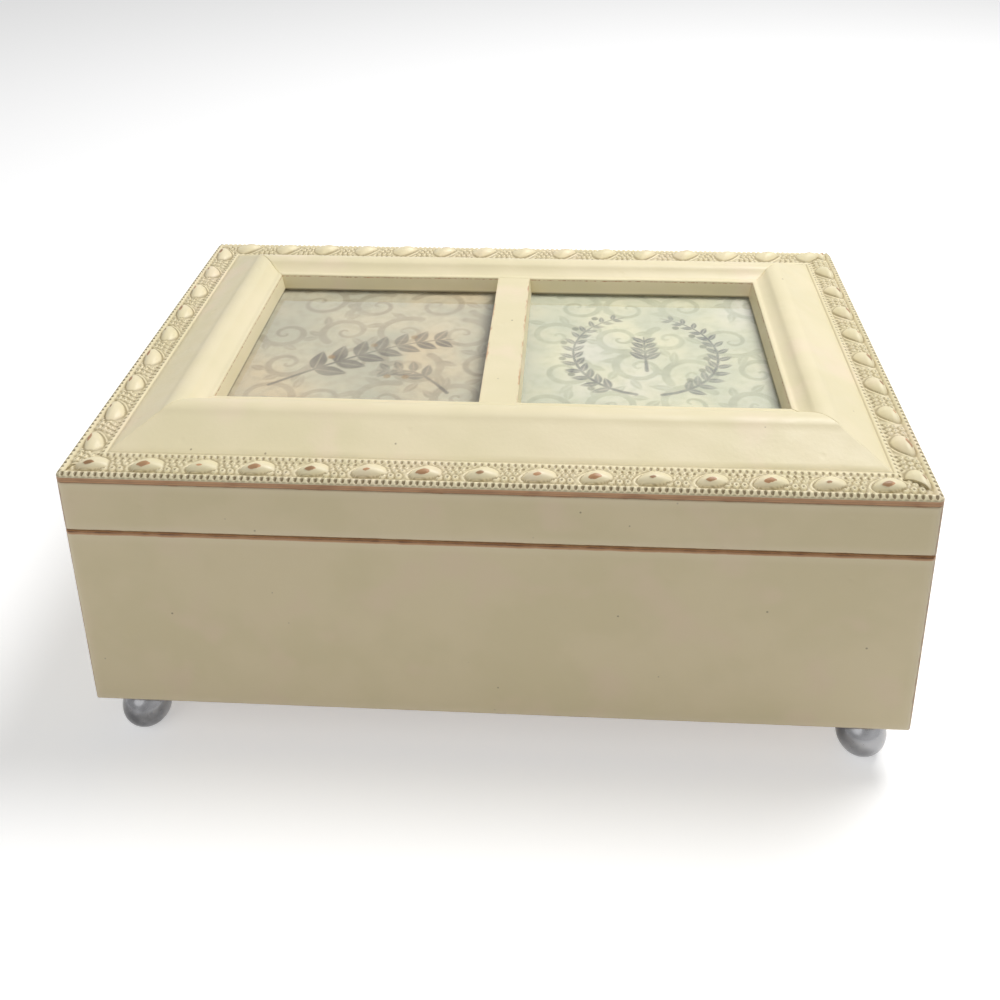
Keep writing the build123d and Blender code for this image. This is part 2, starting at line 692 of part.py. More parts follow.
with BuildPart() as comb_screws:
    comb_top = COMB_BOTTOM + COMB_THICKNESS
    with BuildSketch(Plane(origin=at_movement(0, 0, comb_top))):
        with Locations(*COMB_SCREWS):
            Circle(COMB_SCREW_HEAD)
    extrude(amount=COMB_SCREW_HEAD_HEIGHT)
    with BuildSketch(Plane(origin=at_movement(0, 0, comb_top))):
        with Locations(*COMB_SCREWS):
            Circle(COMB_SCREW_SHANK)
    extrude(amount=-COMB_THICKNESS - COMB_SCREW_LENGTH)
write_piece(comb_screws.part, "comb_screws")

# Bearings of the cylinder: an upright plate at each end
BEARINGS = [(-4.6, 0.8, 2.6), (16.2, 1.0, 3.6)]
with BuildPart() as cylinder_bearings:
    for start, thickness, half_width in BEARINGS:
        with BuildSketch(Plane(origin=at_movement(start, 0, 0), x_dir=(0, 1, 0), z_dir=(1, 0, 0))):
            with Locations((0, (BEDPLATE_THICKNESS + CYLINDER_Z) / 2)):
                Rectangle(2 * half_width, CYLINDER_Z - BEDPLATE_THICKNESS)
            with Locations((0, CYLINDER_Z)):
                Circle(half_width)
                Circle(CYLINDER_ARBOR_RADIUS + RUNNING_CLEARANCE, mode=Mode.SUBTRACT)
        extrude(amount=thickness)
write_piece(cylinder_bearings.part, "cylinder_bearings")

# Governor frame: two cheeks, a foot with the worm's lower bearing, and a top arm
CHEEK_LEFT = 16.4
CHEEK_RIGHT = 23.6
CHEEK = 1.0
FRAME_FRONT = 7.0
FRAME_BACK = 24.0
FRAME_FOOT_TOP = 5.5
CHEEK_TOP = 14.6
POST_FRONT = 21.0
ARM_BOTTOM = 27.6
ARM_TOP = 28.8
with BuildPart() as governor_frame:
    with BuildSketch(
        Plane(origin=at_movement(CHEEK_LEFT, 0, 0), x_dir=(0, 1, 0), z_dir=(1, 0, 0))
    ):
        with BuildLine():
            Polyline(
                (FRAME_FRONT, BEDPLATE_THICKNESS),
                (FRAME_BACK, BEDPLATE_THICKNESS),
                (FRAME_BACK, ARM_TOP),
                (POST_FRONT, ARM_TOP),
                (POST_FRONT, CHEEK_TOP),
                (FRAME_FRONT, CHEEK_TOP),
                close=True,
            )
        make_face()
        with Locations((GOVERNOR_Y, GOVERNOR_Z)):
            Circle(PIVOT_RADIUS + RUNNING_CLEARANCE, mode=Mode.SUBTRACT)
    extrude(amount=CHEEK)
    with BuildSketch(
        Plane(origin=at_movement(CHEEK_RIGHT, 0, 0), x_dir=(0, 1, 0), z_dir=(1, 0, 0))
    ):
        with BuildLine():
            Polyline(
                (FRAME_FRONT, BEDPLATE_THICKNESS),
                (FRAME_BACK, BEDPLATE_THICKNESS),
                (FRAME_BACK, FRAME_FOOT_TOP),
                (GOVERNOR_Y + 3, CHEEK_TOP),
                (FRAME_FRONT, CHEEK_TOP),
                close=True,
            )
        make_face()
        with Locations((GOVERNOR_Y, GOVERNOR_Z)):
            Circle(PIVOT_RADIUS + RUNNING_CLEARANCE, mode=Mode.SUBTRACT)
    extrude(amount=CHEEK)
    with BuildSketch(Plane(origin=at_movement(0, 0, BEDPLATE_THICKNESS))):
        with Locations(((CHEEK_LEFT + CHEEK_RIGHT + CHEEK) / 2, (15.0 + FRAME_BACK) / 2)):
            Rectangle(CHEEK_RIGHT + CHEEK - CHEEK_LEFT, FRAME_BACK - 15.0)
        with Locations((WORM_X, WORM_Y)):
            Circle(PIVOT_RADIUS + RUNNING_CLEARANCE, mode=Mode.SUBTRACT)
    extrude(amount=FRAME_FOOT_TOP - BEDPLATE_THICKNESS)
    with BuildSketch(Plane(origin=at_movement(0, 0, ARM_BOTTOM))):
        with BuildLine():
            Polyline(
                (CHEEK_LEFT, POST_FRONT),
                (CHEEK_LEFT, FRAME_BACK),
                (CHEEK_LEFT + 3, FRAME_BACK),
                (WORM_X + 1.8, WORM_Y),
                (WORM_X, WORM_Y - 1.8),
                close=True,
            )
        make_face()
        with Locations((WORM_X, WORM_Y)):
            Circle(PIVOT_RADIUS + RUNNING_CLEARANCE, mode=Mode.SUBTRACT)
    extrude(amount=ARM_TOP - ARM_BOTTOM)
write_piece(governor_frame.part, "governor_frame")

# Winding key under the box, and the arbor that its stud screws into
ARBOR_FOOT = FLOOR - 3.0
KEY_STUD_LENGTH = 5.0
KEY_SHAFT_BOTTOM = KEY_GRIP_LIFT + 1.0
COLLAR_LIFT = 0.2
COLLAR_THICKNESS = 1.0
with BuildPart() as winding_key:
    grip_middle = KEY_GRIP_LIFT + KEY_GRIP_HEIGHT / 2
    wings = [(KEY_X - KEY_WING_OFFSET, grip_middle), (KEY_X + KEY_WING_OFFSET, grip_middle)]
    with BuildSketch(Plane.XZ):
        with Locations(*wings):
            Circle(KEY_GRIP_HEIGHT / 2)
        with Locations((KEY_X, grip_middle)):
            Rectangle(2 * KEY_WING_OFFSET, KEY_GRIP_HEIGHT * 0.55)
        with Locations(*wings):
            Circle(KEY_GRIP_HEIGHT / 4, mode=Mode.SUBTRACT)
    extrude(amount=KEY_THICKNESS / 2, both=True)
    with BuildSketch(Plane.XY.offset(KEY_SHAFT_BOTTOM)):
        with Locations((KEY_X, 0)):
            Circle(ARBOR_RADIUS)
    extrude(amount=ARBOR_FOOT - KEY_SHAFT_BOTTOM)
    with BuildSketch(Plane.XY.offset(ARBOR_FOOT)):
        with Locations((KEY_X, 0)):
            Circle(STUD_RADIUS)
    extrude(amount=KEY_STUD_LENGTH)
write_piece(winding_key.part, "winding_key")

collar_bottom = FLOOR + BARREL_TOP + COLLAR_LIFT
with BuildPart() as key_arbor:
    with BuildSketch(Plane.XY.offset(ARBOR_FOOT)):
        with Locations((KEY_X, 0)):
            Circle(ARBOR_RADIUS)
    extrude(amount=collar_bottom - ARBOR_FOOT)
    with BuildSketch(Plane.XY.offset(collar_bottom)):
        with Locations((KEY_X, 0)):
            Circle(ARBOR_COLLAR_RADIUS)
    extrude(amount=COLLAR_THICKNESS)
    with BuildSketch(Plane.XY.offset(ARBOR_FOOT)):
        with Locations((KEY_X, 0)):
            Circle(STUD_RADIUS)
    extrude(amount=KEY_STUD_LENGTH, mode=Mode.SUBTRACT)
write_piece(key_arbor.part, "key_arbor")

# Spring barrel: a cup with crown teeth round its top, a cover and the mainspring
crown_radius = CROWN_MODULE * CROWN_TEETH / 2
crown_half_tooth = TOOTH_SHARE * pi * CROWN_MODULE / 2
flank = tan(radians(20))
with BuildPart() as crown_tooth:
    with BuildSketch(Plane.YZ.offset(CROWN_INNER_RADIUS)):
        with BuildLine():
            Polyline(
                (-crown_half_tooth - flank * CROWN_DEDENDUM, BARREL_TOP),
                (crown_half_tooth + flank * CROWN_DEDENDUM, BARREL_TOP),
                (
                    crown_half_tooth - flank * CROWN_ADDENDUM,
                    BARREL_TOP + CROWN_DEDENDUM + CROWN_ADDENDUM,
                ),
                (
                    flank * CROWN_ADDENDUM - crown_half_tooth,
                    BARREL_TOP + CROWN_DEDENDUM + CROWN_ADDENDUM,
                ),
                close=True,
            )
        make_face()
    extrude(amount=BARREL_RADIUS - 0.1 - CROWN_INNER_RADIUS)

half_crown_pitch = radians(180 / CROWN_TEETH)
barrel_plane = Plane(
    origin=(KEY_X, 0, FLOOR),
    x_dir=(cos(half_crown_pitch), sin(half_crown_pitch), 0),
    z_dir=(0, 0, 1),
)
barrel_bottom = BARREL_COVER_LIFT + BARREL_COVER_THICKNESS
with BuildPart(barrel_plane) as spring_barrel:
    with BuildSketch(barrel_plane.offset(barrel_bottom)):
        Circle(BARREL_RADIUS)
        Circle(BARREL_RADIUS - BARREL_WALL, mode=Mode.SUBTRACT)
    extrude(amount=BARREL_TOP - barrel_bottom)
    with BuildSketch(barrel_plane.offset(BARREL_TOP - BARREL_TOP_THICKNESS)):
        Circle(BARREL_RADIUS)
        Circle(ARBOR_RADIUS + RUNNING_CLEARANCE, mode=Mode.SUBTRACT)
    extrude(amount=BARREL_TOP_THICKNESS)
    with PolarLocations(0, CROWN_TEETH):
        add(crown_tooth.part)
write_piece(spring_barrel.part, "spring_barrel")

with BuildPart() as barrel_cover:
    with BuildSketch(barrel_plane.offset(BARREL_COVER_LIFT)):
        Circle(BARREL_RADIUS)
        Circle(ARBOR_RADIUS + RUNNING_CLEARANCE, mode=Mode.SUBTRACT)
    extrude(amount=BARREL_COVER_THICKNESS)
write_piece(barrel_cover.part, "barrel_cover")

SPRING_STRIP = 0.4
SPRING_START = 3.2
SPRING_PITCH = 1.24
SPRING_HALF_TURNS = 10
SPRING_HEIGHT = 6.6
with BuildPart() as mainspring:
    with BuildSketch(barrel_plane.offset(barrel_bottom + 0.4)):
        with BuildLine():
            for half in range(SPRING_HALF_TURNS):
                turn_radius = SPRING_START + SPRING_PITCH * half / 2
                turn_centre = (-SPRING_PITCH / 4 * (-1) ** half, 0)
                turn_angle = 180 * (half % 2)
                CenterArc(turn_centre, turn_radius - SPRING_STRIP / 2, turn_angle, 180)
                CenterArc(turn_centre, turn_radius + SPRING_STRIP / 2, turn_angle, 180)
            inner_x = SPRING_START - SPRING_PITCH / 4
            Line((inner_x - SPRING_STRIP / 2, 0), (inner_x + SPRING_STRIP / 2, 0))
            outer_x = SPRING_START + SPRING_PITCH * (SPRING_HALF_TURNS / 2 - 0.25)
            Line((outer_x - SPRING_STRIP / 2, 0), (outer_x + SPRING_STRIP / 2, 0))
        make_face()
    extrude(amount=SPRING_HEIGHT)
write_piece(mainspring.part, "mainspring")


def across(x, angle):
    """A plane across the cylinder's axis, whose x direction is at an angle in Y and Z."""
    return Plane(
        origin=at_movement(x, 0, CYLINDER_Z),
        x_dir=(0, cos(radians(angle)), sin(radians(angle))),
        z_dir=(1, 0, 0),
    )


def draw_gear(teeth, module, addendum, dedendum, flank_angle):
    """Draws a root disc with straight-flanked teeth, the first on the sketch's x axis."""
    pitch_radius = module * teeth / 2
    half_tooth = TOOTH_SHARE * pi * module / 2
    lean = tan(radians(flank_angle))
    root = pitch_radius - dedendum
    tip = pitch_radius + addendum
    Circle(root)
    with PolarLocations(0, teeth):
        Polygon(
            (root * 0.9, half_tooth + lean * dedendum),
            (root * 0.9, -half_tooth - lean * dedendum),
            (tip, lean * addendum - half_tooth),
            (tip, half_tooth - lean * addendum),
            align=None,
        )


# Cylinder with its pins: a plain rising and falling figure, one note at each step
with BuildPart() as cylinder:
    with BuildSketch(across(CYLINDER_START, 0)):
        Circle(CYLINDER_RADIUS)
        Circle(CYLINDER_ARBOR_RADIUS, mode=Mode.SUBTRACT)
    extrude(amount=CYLINDER_END - CYLINDER_START)
    pin_places = []
    for step in range(STEPS):
        track = (5 * step + 3 * (step // 8)) % TRACKS
        pin_x = CYLINDER_START + TRACK_PITCH * (track + 0.5) + TRACK_PITCH / 2
        pin_plane = across(pin_x, 360 * step / STEPS)
        pin_places.append(Location(pin_plane) * Location((CYLINDER_RADIUS, 0, 0)))
    with Locations(*pin_places):
        Box(2 * PIN_LENGTH, PIN_WIDTH, PIN_WIDTH)
write_piece(cylinder.part, "music_cylinder")

with BuildPart() as cylinder_arbor:
    with BuildSketch(across(-8.0, 0)):
        Circle(CYLINDER_ARBOR_RADIUS)
    extrude(amount=GREAT_WHEEL_START + GREAT_WHEEL_THICKNESS + 0.6 + 8.0)
write_piece(cylinder_arbor.part, "cylinder_arbor")

with BuildPart() as cylinder_pinion:
    with BuildSketch(across(BARREL_X + CROWN_INNER_RADIUS - 0.2, -90)):
        draw_gear(CYLINDER_PINION_TEETH, CROWN_MODULE, CROWN_ADDENDUM, 0.75, 0)
        Circle(CYLINDER_ARBOR_RADIUS, mode=Mode.SUBTRACT)
    extrude(amount=BARREL_RADIUS - CROWN_INNER_RADIUS + 0.3)
write_piece(cylinder_pinion.part, "cylinder_pinion")

with BuildPart() as great_wheel:
    with BuildSketch(across(GREAT_WHEEL_START, GOVERNOR_DROP_ANGLE)):
        draw_gear(GREAT_WHEEL_TEETH, TRAIN_MODULE, TRAIN_ADDENDUM, TRAIN_DEDENDUM, 20)
        Circle(CYLINDER_ARBOR_RADIUS, mode=Mode.SUBTRACT)
        with PolarLocations(5.6, 5):
            Circle(1.9, mode=Mode.SUBTRACT)
    extrude(amount=GREAT_WHEEL_THICKNESS)
write_piece(great_wheel.part, "great_wheel")


# Governor wheel, on one arbor with the pinion that the great wheel drives
def across_governor(x, angle):
    return Plane(
        origin=at_movement(x, GOVERNOR_Y, GOVERNOR_Z),
        x_dir=(0, cos(radians(angle)), sin(radians(angle))),
        z_dir=(1, 0, 0),
    )


with BuildPart() as governor_pinion:
    with BuildSketch(across_governor(CHEEK_LEFT, 0)):
        Circle(PIVOT_RADIUS)
    extrude(amount=CHEEK_RIGHT + CHEEK - CHEEK_LEFT)
    gap_angle = GOVERNOR_DROP_ANGLE + 180 + 180 / GOVERNOR_PINION_TEETH
    with BuildSketch(across_governor(GREAT_WHEEL_START - 0.3, gap_angle)):
        draw_gear(GOVERNOR_PINION_TEETH, TRAIN_MODULE, TRAIN_ADDENDUM, TRAIN_DEDENDUM, 0)
    extrude(amount=GREAT_WHEEL_THICKNESS + 0.6)
write_piece(governor_pinion.part, "governor_pinion")

with BuildPart() as governor_wheel:
    with BuildSketch(across_governor(WORM_WHEEL_START, 0)):
        draw_gear(WORM_WHEEL_TEETH, WORM_MODULE, WORM_ADDENDUM, WORM_DEDENDUM, 20)
        Circle(PIVOT_RADIUS, mode=Mode.SUBTRACT)
    extrude(amount=WORM_WHEEL_THICKNESS)
write_piece(governor_wheel.part, "governor_wheel")

# Worm: one thread round its shaft, with a crossing midway between two wheel teeth
thread_start = GOVERNOR_Z - 0.25 * WORM_PITCH - WORM_TURNS / 2 * WORM_PITCH
worm_origin = at_movement(WORM_X, WORM_Y, thread_start)
thread_middle = (WORM_CORE_RADIUS + WORM_PITCH_RADIUS + WORM_ADDENDUM) / 2
thread_half = TOOTH_SHARE * WORM_PITCH / 2
with BuildPart() as worm:
    with BuildSketch(Plane(origin=at_movement(WORM_X, WORM_Y, BEDPLATE_THICKNESS + 0.4))):
        Circle(PIVOT_RADIUS)
    extrude(amount=ARM_TOP - BEDPLATE_THICKNESS - 0.4)
    with BuildSketch(Plane(origin=at_movement(WORM_X, WORM_Y, thread_start - 1))):
        Circle(WORM_CORE_RADIUS)
    extrude(amount=WORM_TURNS * WORM_PITCH + 2)
    with BuildLine() as thread_line:
        Helix(WORM_PITCH, WORM_TURNS * WORM_PITCH, thread_middle, center=worm_origin)
    thread_plane = Plane(
        origin=thread_line.line @ 0, x_dir=(1, 0, 0), z_dir=thread_line.line % 0
    )
    with BuildSketch(thread_plane):
        reach_in = WORM_CORE_RADIUS - 0.2 - thread_middle
        reach_out = WORM_PITCH_RADIUS + WORM_ADDENDUM - thread_middle
        Polygon(
            (reach_in, -thread_half * 1.3),
            (reach_out, -thread_half * 0.7),
            (reach_out, thread_half * 0.7),
            (reach_in, thread_half * 1.3),
            align=None,
        )
    sweep(path=thread_line.line, is_frenet=True)
write_piece(worm.part, "governor_worm")

with BuildPart() as fly:
    with BuildSketch(Plane(origin=at_movement(WORM_X, WORM_Y, VANE_BOTTOM))):
        Rectangle(VANE_SPAN, VANE_THICKNESS)
        Circle(PIVOT_RADIUS + 0.6)
        Circle(PIVOT_RADIUS, mode=Mode.SUBTRACT)
    extrude(amount=VANE_TOP - VANE_BOTTOM)
write_piece(fly.part, "governor_fly")

# Stop lever: a wire that the closed lid holds down beside the fly
stop_origin = at_movement(WORM_X, STOP_Y, STOP_Z)
rod_top = RAIL_BOTTOM - 0.4 - FLOOR
FINGER_Y = WORM_Y + VANE_SPAN / 2 + 0.5
with BuildPart() as stop_lever:
    with BuildSketch(Plane(origin=stop_origin, x_dir=(0, 1, 0), z_dir=(1, 0, 0))):
        Circle(2.0)
        Circle(STOP_WIRE_RADIUS + RUNNING_CLEARANCE, mode=Mode.SUBTRACT)
    extrude(amount=1.4, both=True)
    with BuildLine() as stop_wire:
        FilletPolyline(
            at_movement(WORM_X, STOP_Y + 1.4, STOP_Z),
            at_movement(WORM_X, STOP_ROD_Y, STOP_Z),
            at_movement(WORM_X, STOP_ROD_Y, rod_top),
            radius=3.0,
        )
    with BuildSketch(Plane(origin=stop_wire.line @ 0, z_dir=stop_wire.line % 0)):
        Circle(STOP_WIRE_RADIUS)
    sweep(path=stop_wire.line)
    with BuildSketch(Plane(origin=at_movement(WORM_X, FINGER_Y, STOP_Z), z_dir=(0, 1, 0))):
        Circle(STOP_WIRE_RADIUS)
    extrude(amount=STOP_Y - 1.4 - FINGER_Y)
write_piece(stop_lever.part, "stop_lever")

with BuildPart() as stop_bracket:
    with BuildSketch(
        Plane(origin=at_movement(WORM_X + 1.7, 0, 0), x_dir=(0, 1, 0), z_dir=(1, 0, 0))
    ):
        with Locations((STOP_Y, (BEDPLATE_THICKNESS + STOP_Z) / 2)):
            Rectangle(4.0, STOP_Z - BEDPLATE_THICKNESS)
        with Locations((STOP_Y, STOP_Z)):
            Circle(2.0)
    extrude(amount=1.6)
    with BuildSketch(
        Plane(origin=at_movement(WORM_X - 2.0, STOP_Y, STOP_Z), x_dir=(0, 1, 0), z_dir=(1, 0, 0))
    ):
        Circle(STOP_WIRE_RADIUS)
    extrude(amount=3.8)
write_piece(stop_bracket.part, "stop_bracket")
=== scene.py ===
import math

import bmesh
import bpy
import numpy as np
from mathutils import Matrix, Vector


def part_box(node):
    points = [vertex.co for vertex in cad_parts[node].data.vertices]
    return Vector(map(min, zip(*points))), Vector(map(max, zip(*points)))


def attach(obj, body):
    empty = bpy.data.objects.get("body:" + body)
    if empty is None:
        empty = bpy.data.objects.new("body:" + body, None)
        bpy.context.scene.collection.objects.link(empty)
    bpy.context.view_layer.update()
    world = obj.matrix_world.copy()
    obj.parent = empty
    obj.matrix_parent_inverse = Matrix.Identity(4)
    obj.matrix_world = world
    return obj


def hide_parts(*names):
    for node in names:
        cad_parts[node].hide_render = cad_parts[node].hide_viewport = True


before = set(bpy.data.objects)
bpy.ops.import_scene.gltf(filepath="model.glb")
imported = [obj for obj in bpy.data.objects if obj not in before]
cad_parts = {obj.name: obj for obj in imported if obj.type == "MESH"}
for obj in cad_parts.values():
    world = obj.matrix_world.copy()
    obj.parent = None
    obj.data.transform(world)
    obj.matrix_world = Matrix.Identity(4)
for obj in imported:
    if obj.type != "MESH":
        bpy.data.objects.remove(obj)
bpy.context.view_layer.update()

MM = 0.001

# The box, in mm; heights of the moulding's section count from LID_TOP
HALF_X = 101.6
HALF_Y = 63.5
BASE_BOTTOM = 14.5
BASE_TOP = 66.35
LID_BOTTOM = 66.75
SKIRT_TOP = 80.3
LID_TOP = 80.7
CORNER_ROUND = 1.8
LIP_HEIGHT = 5.2
MULLION_HALF = 4.8

# The carved moulding, in mm: u runs in from the outer face, s along the rail
COLUMN_PITCH = 0.24
BEAD_PITCH = 1.57
LEAF_PITCH = 13.13
LEAF_HEIGHT = 1.65
LEAF_CROWN = 3.6

# Rows of pits between the beads: u, half size along and across, depth, darkness of their glaze and
# painted shade
BEAD_PITS = ((0.80, 0.44, 0.56, 0.5, 0.8), (8.2, 0.42, 0.44, 0.34, 0.3))

# Rows of ringed pearls between the leaves: u, radius, places after the leaf's middle, height
PEARLS = (
    (2.95, 0.84, (3.7, 5.55, 7.4), 0.62),
    (4.7, 0.70, (4.6, 6.35, 8.1), 0.5),
    (6.2, 0.58, (5.6, 7.2, 8.8), 0.4),
)

# Small pits above the pearls
SMALL_PIT_ROW = 7.15
SMALL_PIT_RADIUS = 0.46
SMALL_PIT_DEPTH = 0.3
SMALL_PITS = (4.6, 6.3, 8.0, 9.7)

# Where the leaves of the rails start, from each rail's middle
LEAF_START_LONG = -94.2
LEAF_START_RIGHT = -57.3
LEAF_START_LEFT = -55.0

# The cards, in mm
CARD_STEP = 0.25
SCROLL_PITCH = 17.3
INK_EDGE = 0.3

# Screws, in mm
HINGE_X = 58.0
HINGE_SCREW_SIDE = 7.0
HINGE_SCREW_Y = 59.4
BASE_LEAF_TOP = 66.45
LID_LEAF_BOTTOM = 66.65
BUTTON_X = 38.5
BUTTON_Y = 41.5
BUTTON_BOTTOM = 74.8
PANEL_BOTTOM = 14.5
COMB_TOP = 37.7

# Screw slots: width as a share of the head's radius, turn from screw to screw in radians
SLOT_WIDTH = 0.26
SLOT_TURN = 0.9


def srgb(red, green, blue):
    """An 8-bit colour as Blender's linear one."""
    values = [c / 255 for c in (red, green, blue)]
    linear = [v / 12.92 if v <= 0.04045 else ((v + 0.055) / 1.055) ** 2.4 for v in values]
    return (*linear, 1.0)


# Materials


class Tree:
    """A material's nodes, with short names for the few kinds used here."""

    def __init__(self, name):
        self.material = bpy.data.materials.new(name)
        self.material.use_nodes = True
        self.nodes = self.material.node_tree.nodes
        self.links = self.material.node_tree.links
        self.shader = self.nodes["Principled BSDF"]
        self.output = self.nodes["Material Output"]
        self.place = self.nodes.new("ShaderNodeTexCoord").outputs["Object"]

    def put(self, socket, value):
        if isinstance(value, bpy.types.NodeSocket):
            self.links.new(value, socket)
        else:
            socket.default_value = value

    def math(self, operation, *values):
        node = self.nodes.new("ShaderNodeMath")
        node.operation = operation
        for socket, value in zip(node.inputs, values):
            self.put(socket, value)
        return node.outputs[0]

    def noise(self, scale, detail=3.0, stretch=None, roughness=0.5):
        node = self.nodes.new("ShaderNodeTexNoise")
        node.inputs["Scale"].default_value = scale
        node.inputs["Detail"].default_value = detail
        node.inputs["Roughness"].default_value = roughness
        place = self.place
        if stretch:
            mapping = self.nodes.new("ShaderNodeMapping")
            mapping.inputs["Scale"].default_value = stretch
            self.links.new(place, mapping.inputs["Vector"])
            place = mapping.outputs[0]
        self.links.new(place, node.inputs["Vector"])
        return node.outputs["Fac"]

    def jitter(self, scale, detail, amount):
        """Noise about zero that makes an edge ragged."""
        return self.math("MULTIPLY", self.math("SUBTRACT", self.noise(scale, detail), 0.5), amount)

    def cells(self, scale):
        node = self.nodes.new("ShaderNodeTexVoronoi")
        node.inputs["Scale"].default_value = scale
        self.links.new(self.place, node.inputs["Vector"])
        return node.outputs["Distance"]

    def ramp(self, value, low, high, to_low=0.0, to_high=1.0):
        node = self.nodes.new("ShaderNodeMapRange")
        node.interpolation_type = "SMOOTHSTEP"
        for socket, number in zip(node.inputs, (value, low, high, to_low, to_high)):
            self.put(socket, number)
        return node.outputs[0]

    def mix(self, share, first, second):
        node = self.nodes.new("ShaderNodeMix")
        node.data_type = "RGBA"
        self.put(node.inputs["Factor"], share)
        self.put(node.inputs[6], first)
        self.put(node.inputs[7], second)
        return node.outputs[2]

    def attribute(self, name):
        node = self.nodes.new("ShaderNodeAttribute")
        node.attribute_name = name
        return node.outputs["Fac"]

    def axes(self):
        node = self.nodes.new("ShaderNodeSeparateXYZ")
        self.links.new(self.place, node.inputs[0])
        return node.outputs

    def bump(self, height, distance, strength=1.0, before=None):
        node = self.nodes.new("ShaderNodeBump")
        node.inputs["Strength"].default_value = strength
        node.inputs["Distance"].default_value = distance
        self.links.new(height, node.inputs["Height"])
        if before:
            self.links.new(before, node.inputs["Normal"])
        return node.outputs[0]

    def finish(self, colour, roughness, normal=None, **constants):
        self.put(self.shader.inputs["Base Color"], colour)
        self.put(self.shader.inputs["Roughness"], roughness)
        if normal:
            self.links.new(normal, self.shader.inputs["Normal"])
        for key, value in constants.items():
            self.shader.inputs[key.replace("_", " ")].default_value = value
        return self.material


IVORY = srgb(235, 223, 188)
IVORY_GREEN = srgb(230, 219, 182)
IVORY_PINK = srgb(236, 221, 190)
COPPER = srgb(200, 154, 114)
COPPER_DARK = srgb(156, 113, 78)
EDGE_BROWN = srgb(92, 68, 46)
# Colour of the dark lines and hollows: dark glaze and joint lines, with painted shade in the pits
# and the pearls' eyes.
DARK_AND_SHADE = srgb(96, 80, 50)
# Colour of the crevices: partly glaze, partly painted shade.
GLAZE_AND_SHADE = srgb(156, 140, 104)

# Painted shade: the upright faces' paint is made a little darker and browner than the top's,
# standing in for the dimmer, warmer light they get.
FACE_SHADE_TINT = (0.935, 0.895, 0.85)
PLAIN_TINT = (1.0, 1.0, 1.0)

# How far the paint is warmer beyond a rubbed edge, in mm
HALO_WIDTH = 2.6


def paint_colour(tree, tint=PLAIN_TINT):
    """Ivory paint with soft mottling and a few small brown specks."""
    # A tint below one darkens the paint; the upright faces' tint paints shade onto them this way.
    warm, green, pink = (
        (c[0] * tint[0], c[1] * tint[1], c[2] * tint[2], 1.0)
        for c in (IVORY, IVORY_GREEN, IVORY_PINK)
    )
    colour = tree.mix(tree.ramp(tree.noise(38.0), 0.40, 0.62), warm, green)
    colour = tree.mix(tree.ramp(tree.noise(61.0, 2.0), 0.52, 0.72), colour, pink)
    speck = tree.ramp(tree.cells(210.0), 0.035, 0.075, 1.0, 0.0)
    some = tree.ramp(tree.noise(150.0, 1.0), 0.56, 0.62)
    speck = tree.math("MULTIPLY", tree.math("MULTIPLY", speck, some), 0.55)
    return tree.mix(speck, colour, EDGE_BROWN)


def paint_relief(tree):
    """The brushed, slightly dented skin of the paint."""
    skin = tree.bump(tree.noise(900.0, 2.0), 0.00010, 0.3)
    dents = tree.ramp(tree.cells(120.0), 0.03, 0.16, 0.0, 1.0)
    return tree.bump(dents, 0.00015, 0.35, skin)


def finish_paint(tree, colour):
    roughness = tree.ramp(tree.noise(220.0), 0.3, 0.7, 0.36, 0.50)
    return tree.finish(colour, roughness, paint_relief(tree), Specular_IOR_Level=0.35)


def worn_paint(name, half_x, half_y, low, high, corner, top, bottom, tint=PLAIN_TINT):
    """Paint on a board of a box with these limits in mm, rubbed through along the box's edges.

    corner, top and bottom are how wide each edge is rubbed, in mm.
    """
    tree = Tree(name)
    x, y, z = tree.axes()
    from_x = tree.math("SUBTRACT", half_x * MM, tree.math("ABSOLUTE", x))
    from_y = tree.math("SUBTRACT", half_y * MM, tree.math("ABSOLUTE", y))
    nearest = tree.math("MINIMUM", from_x, from_y)
    rough = tree.jitter(260.0, 4.0, 0.5 * MM)
    distances = (
        (tree.math("MAXIMUM", from_x, from_y), corner, COPPER_DARK),
        (tree.math("MAXIMUM", nearest, tree.math("SUBTRACT", z, low * MM)), bottom, COPPER_DARK),
        (tree.math("MAXIMUM", nearest, tree.math("SUBTRACT", high * MM, z)), top, COPPER),
    )
    colour = paint_colour(tree, tint)
    for distance, width, bare in distances:
        ragged = tree.math("ADD", distance, rough)
        halo = tree.ramp(ragged, width * MM, (width + HALO_WIDTH) * MM, 0.45, 0.0)
        colour = tree.mix(halo, colour, IVORY_PINK)
        rub = tree.ramp(ragged, width * 0.75 * MM, (width * 1.15 + 0.1) * MM, 1.0, 0.0)
        colour = tree.mix(rub, colour, bare)
        dark = tree.ramp(ragged, width * 0.15 * MM, width * 0.5 * MM, 0.75, 0.0)
        colour = tree.mix(dark, colour, EDGE_BROWN)
    return finish_paint(tree, colour)


def carved_paint():
    """Paint on the moulding, its wear, dark hollows and glaze stored on the mesh; the hollows and
    the glaze are partly painted shade.
    """
    tree = Tree("carved_paint")
    colour = paint_colour(tree)
    # Glaze with painted shade in the crevices, and painted shade in the valley by the inner bead
    # row.
    colour = tree.mix(tree.attribute("glaze_and_shade"), colour, GLAZE_AND_SHADE)
    ragged = tree.jitter(1100.0, 3.0, 0.9)
    wear = tree.ramp(tree.math("ADD", tree.attribute("wear"), ragged), 0.42, 0.62)
    grain = tree.ramp(tree.noise(480.0, 4.0, (0.3, 0.3, 1.0)), 0.40, 0.70, 0.0, 0.65)
    colour = tree.mix(wear, colour, tree.mix(grain, COPPER, COPPER_DARK))
    # Dark lines, and hollows darkened partly with painted shade.
    colour = tree.mix(tree.attribute("dark_and_shade"), colour, DARK_AND_SHADE)
    return finish_paint(tree, colour)


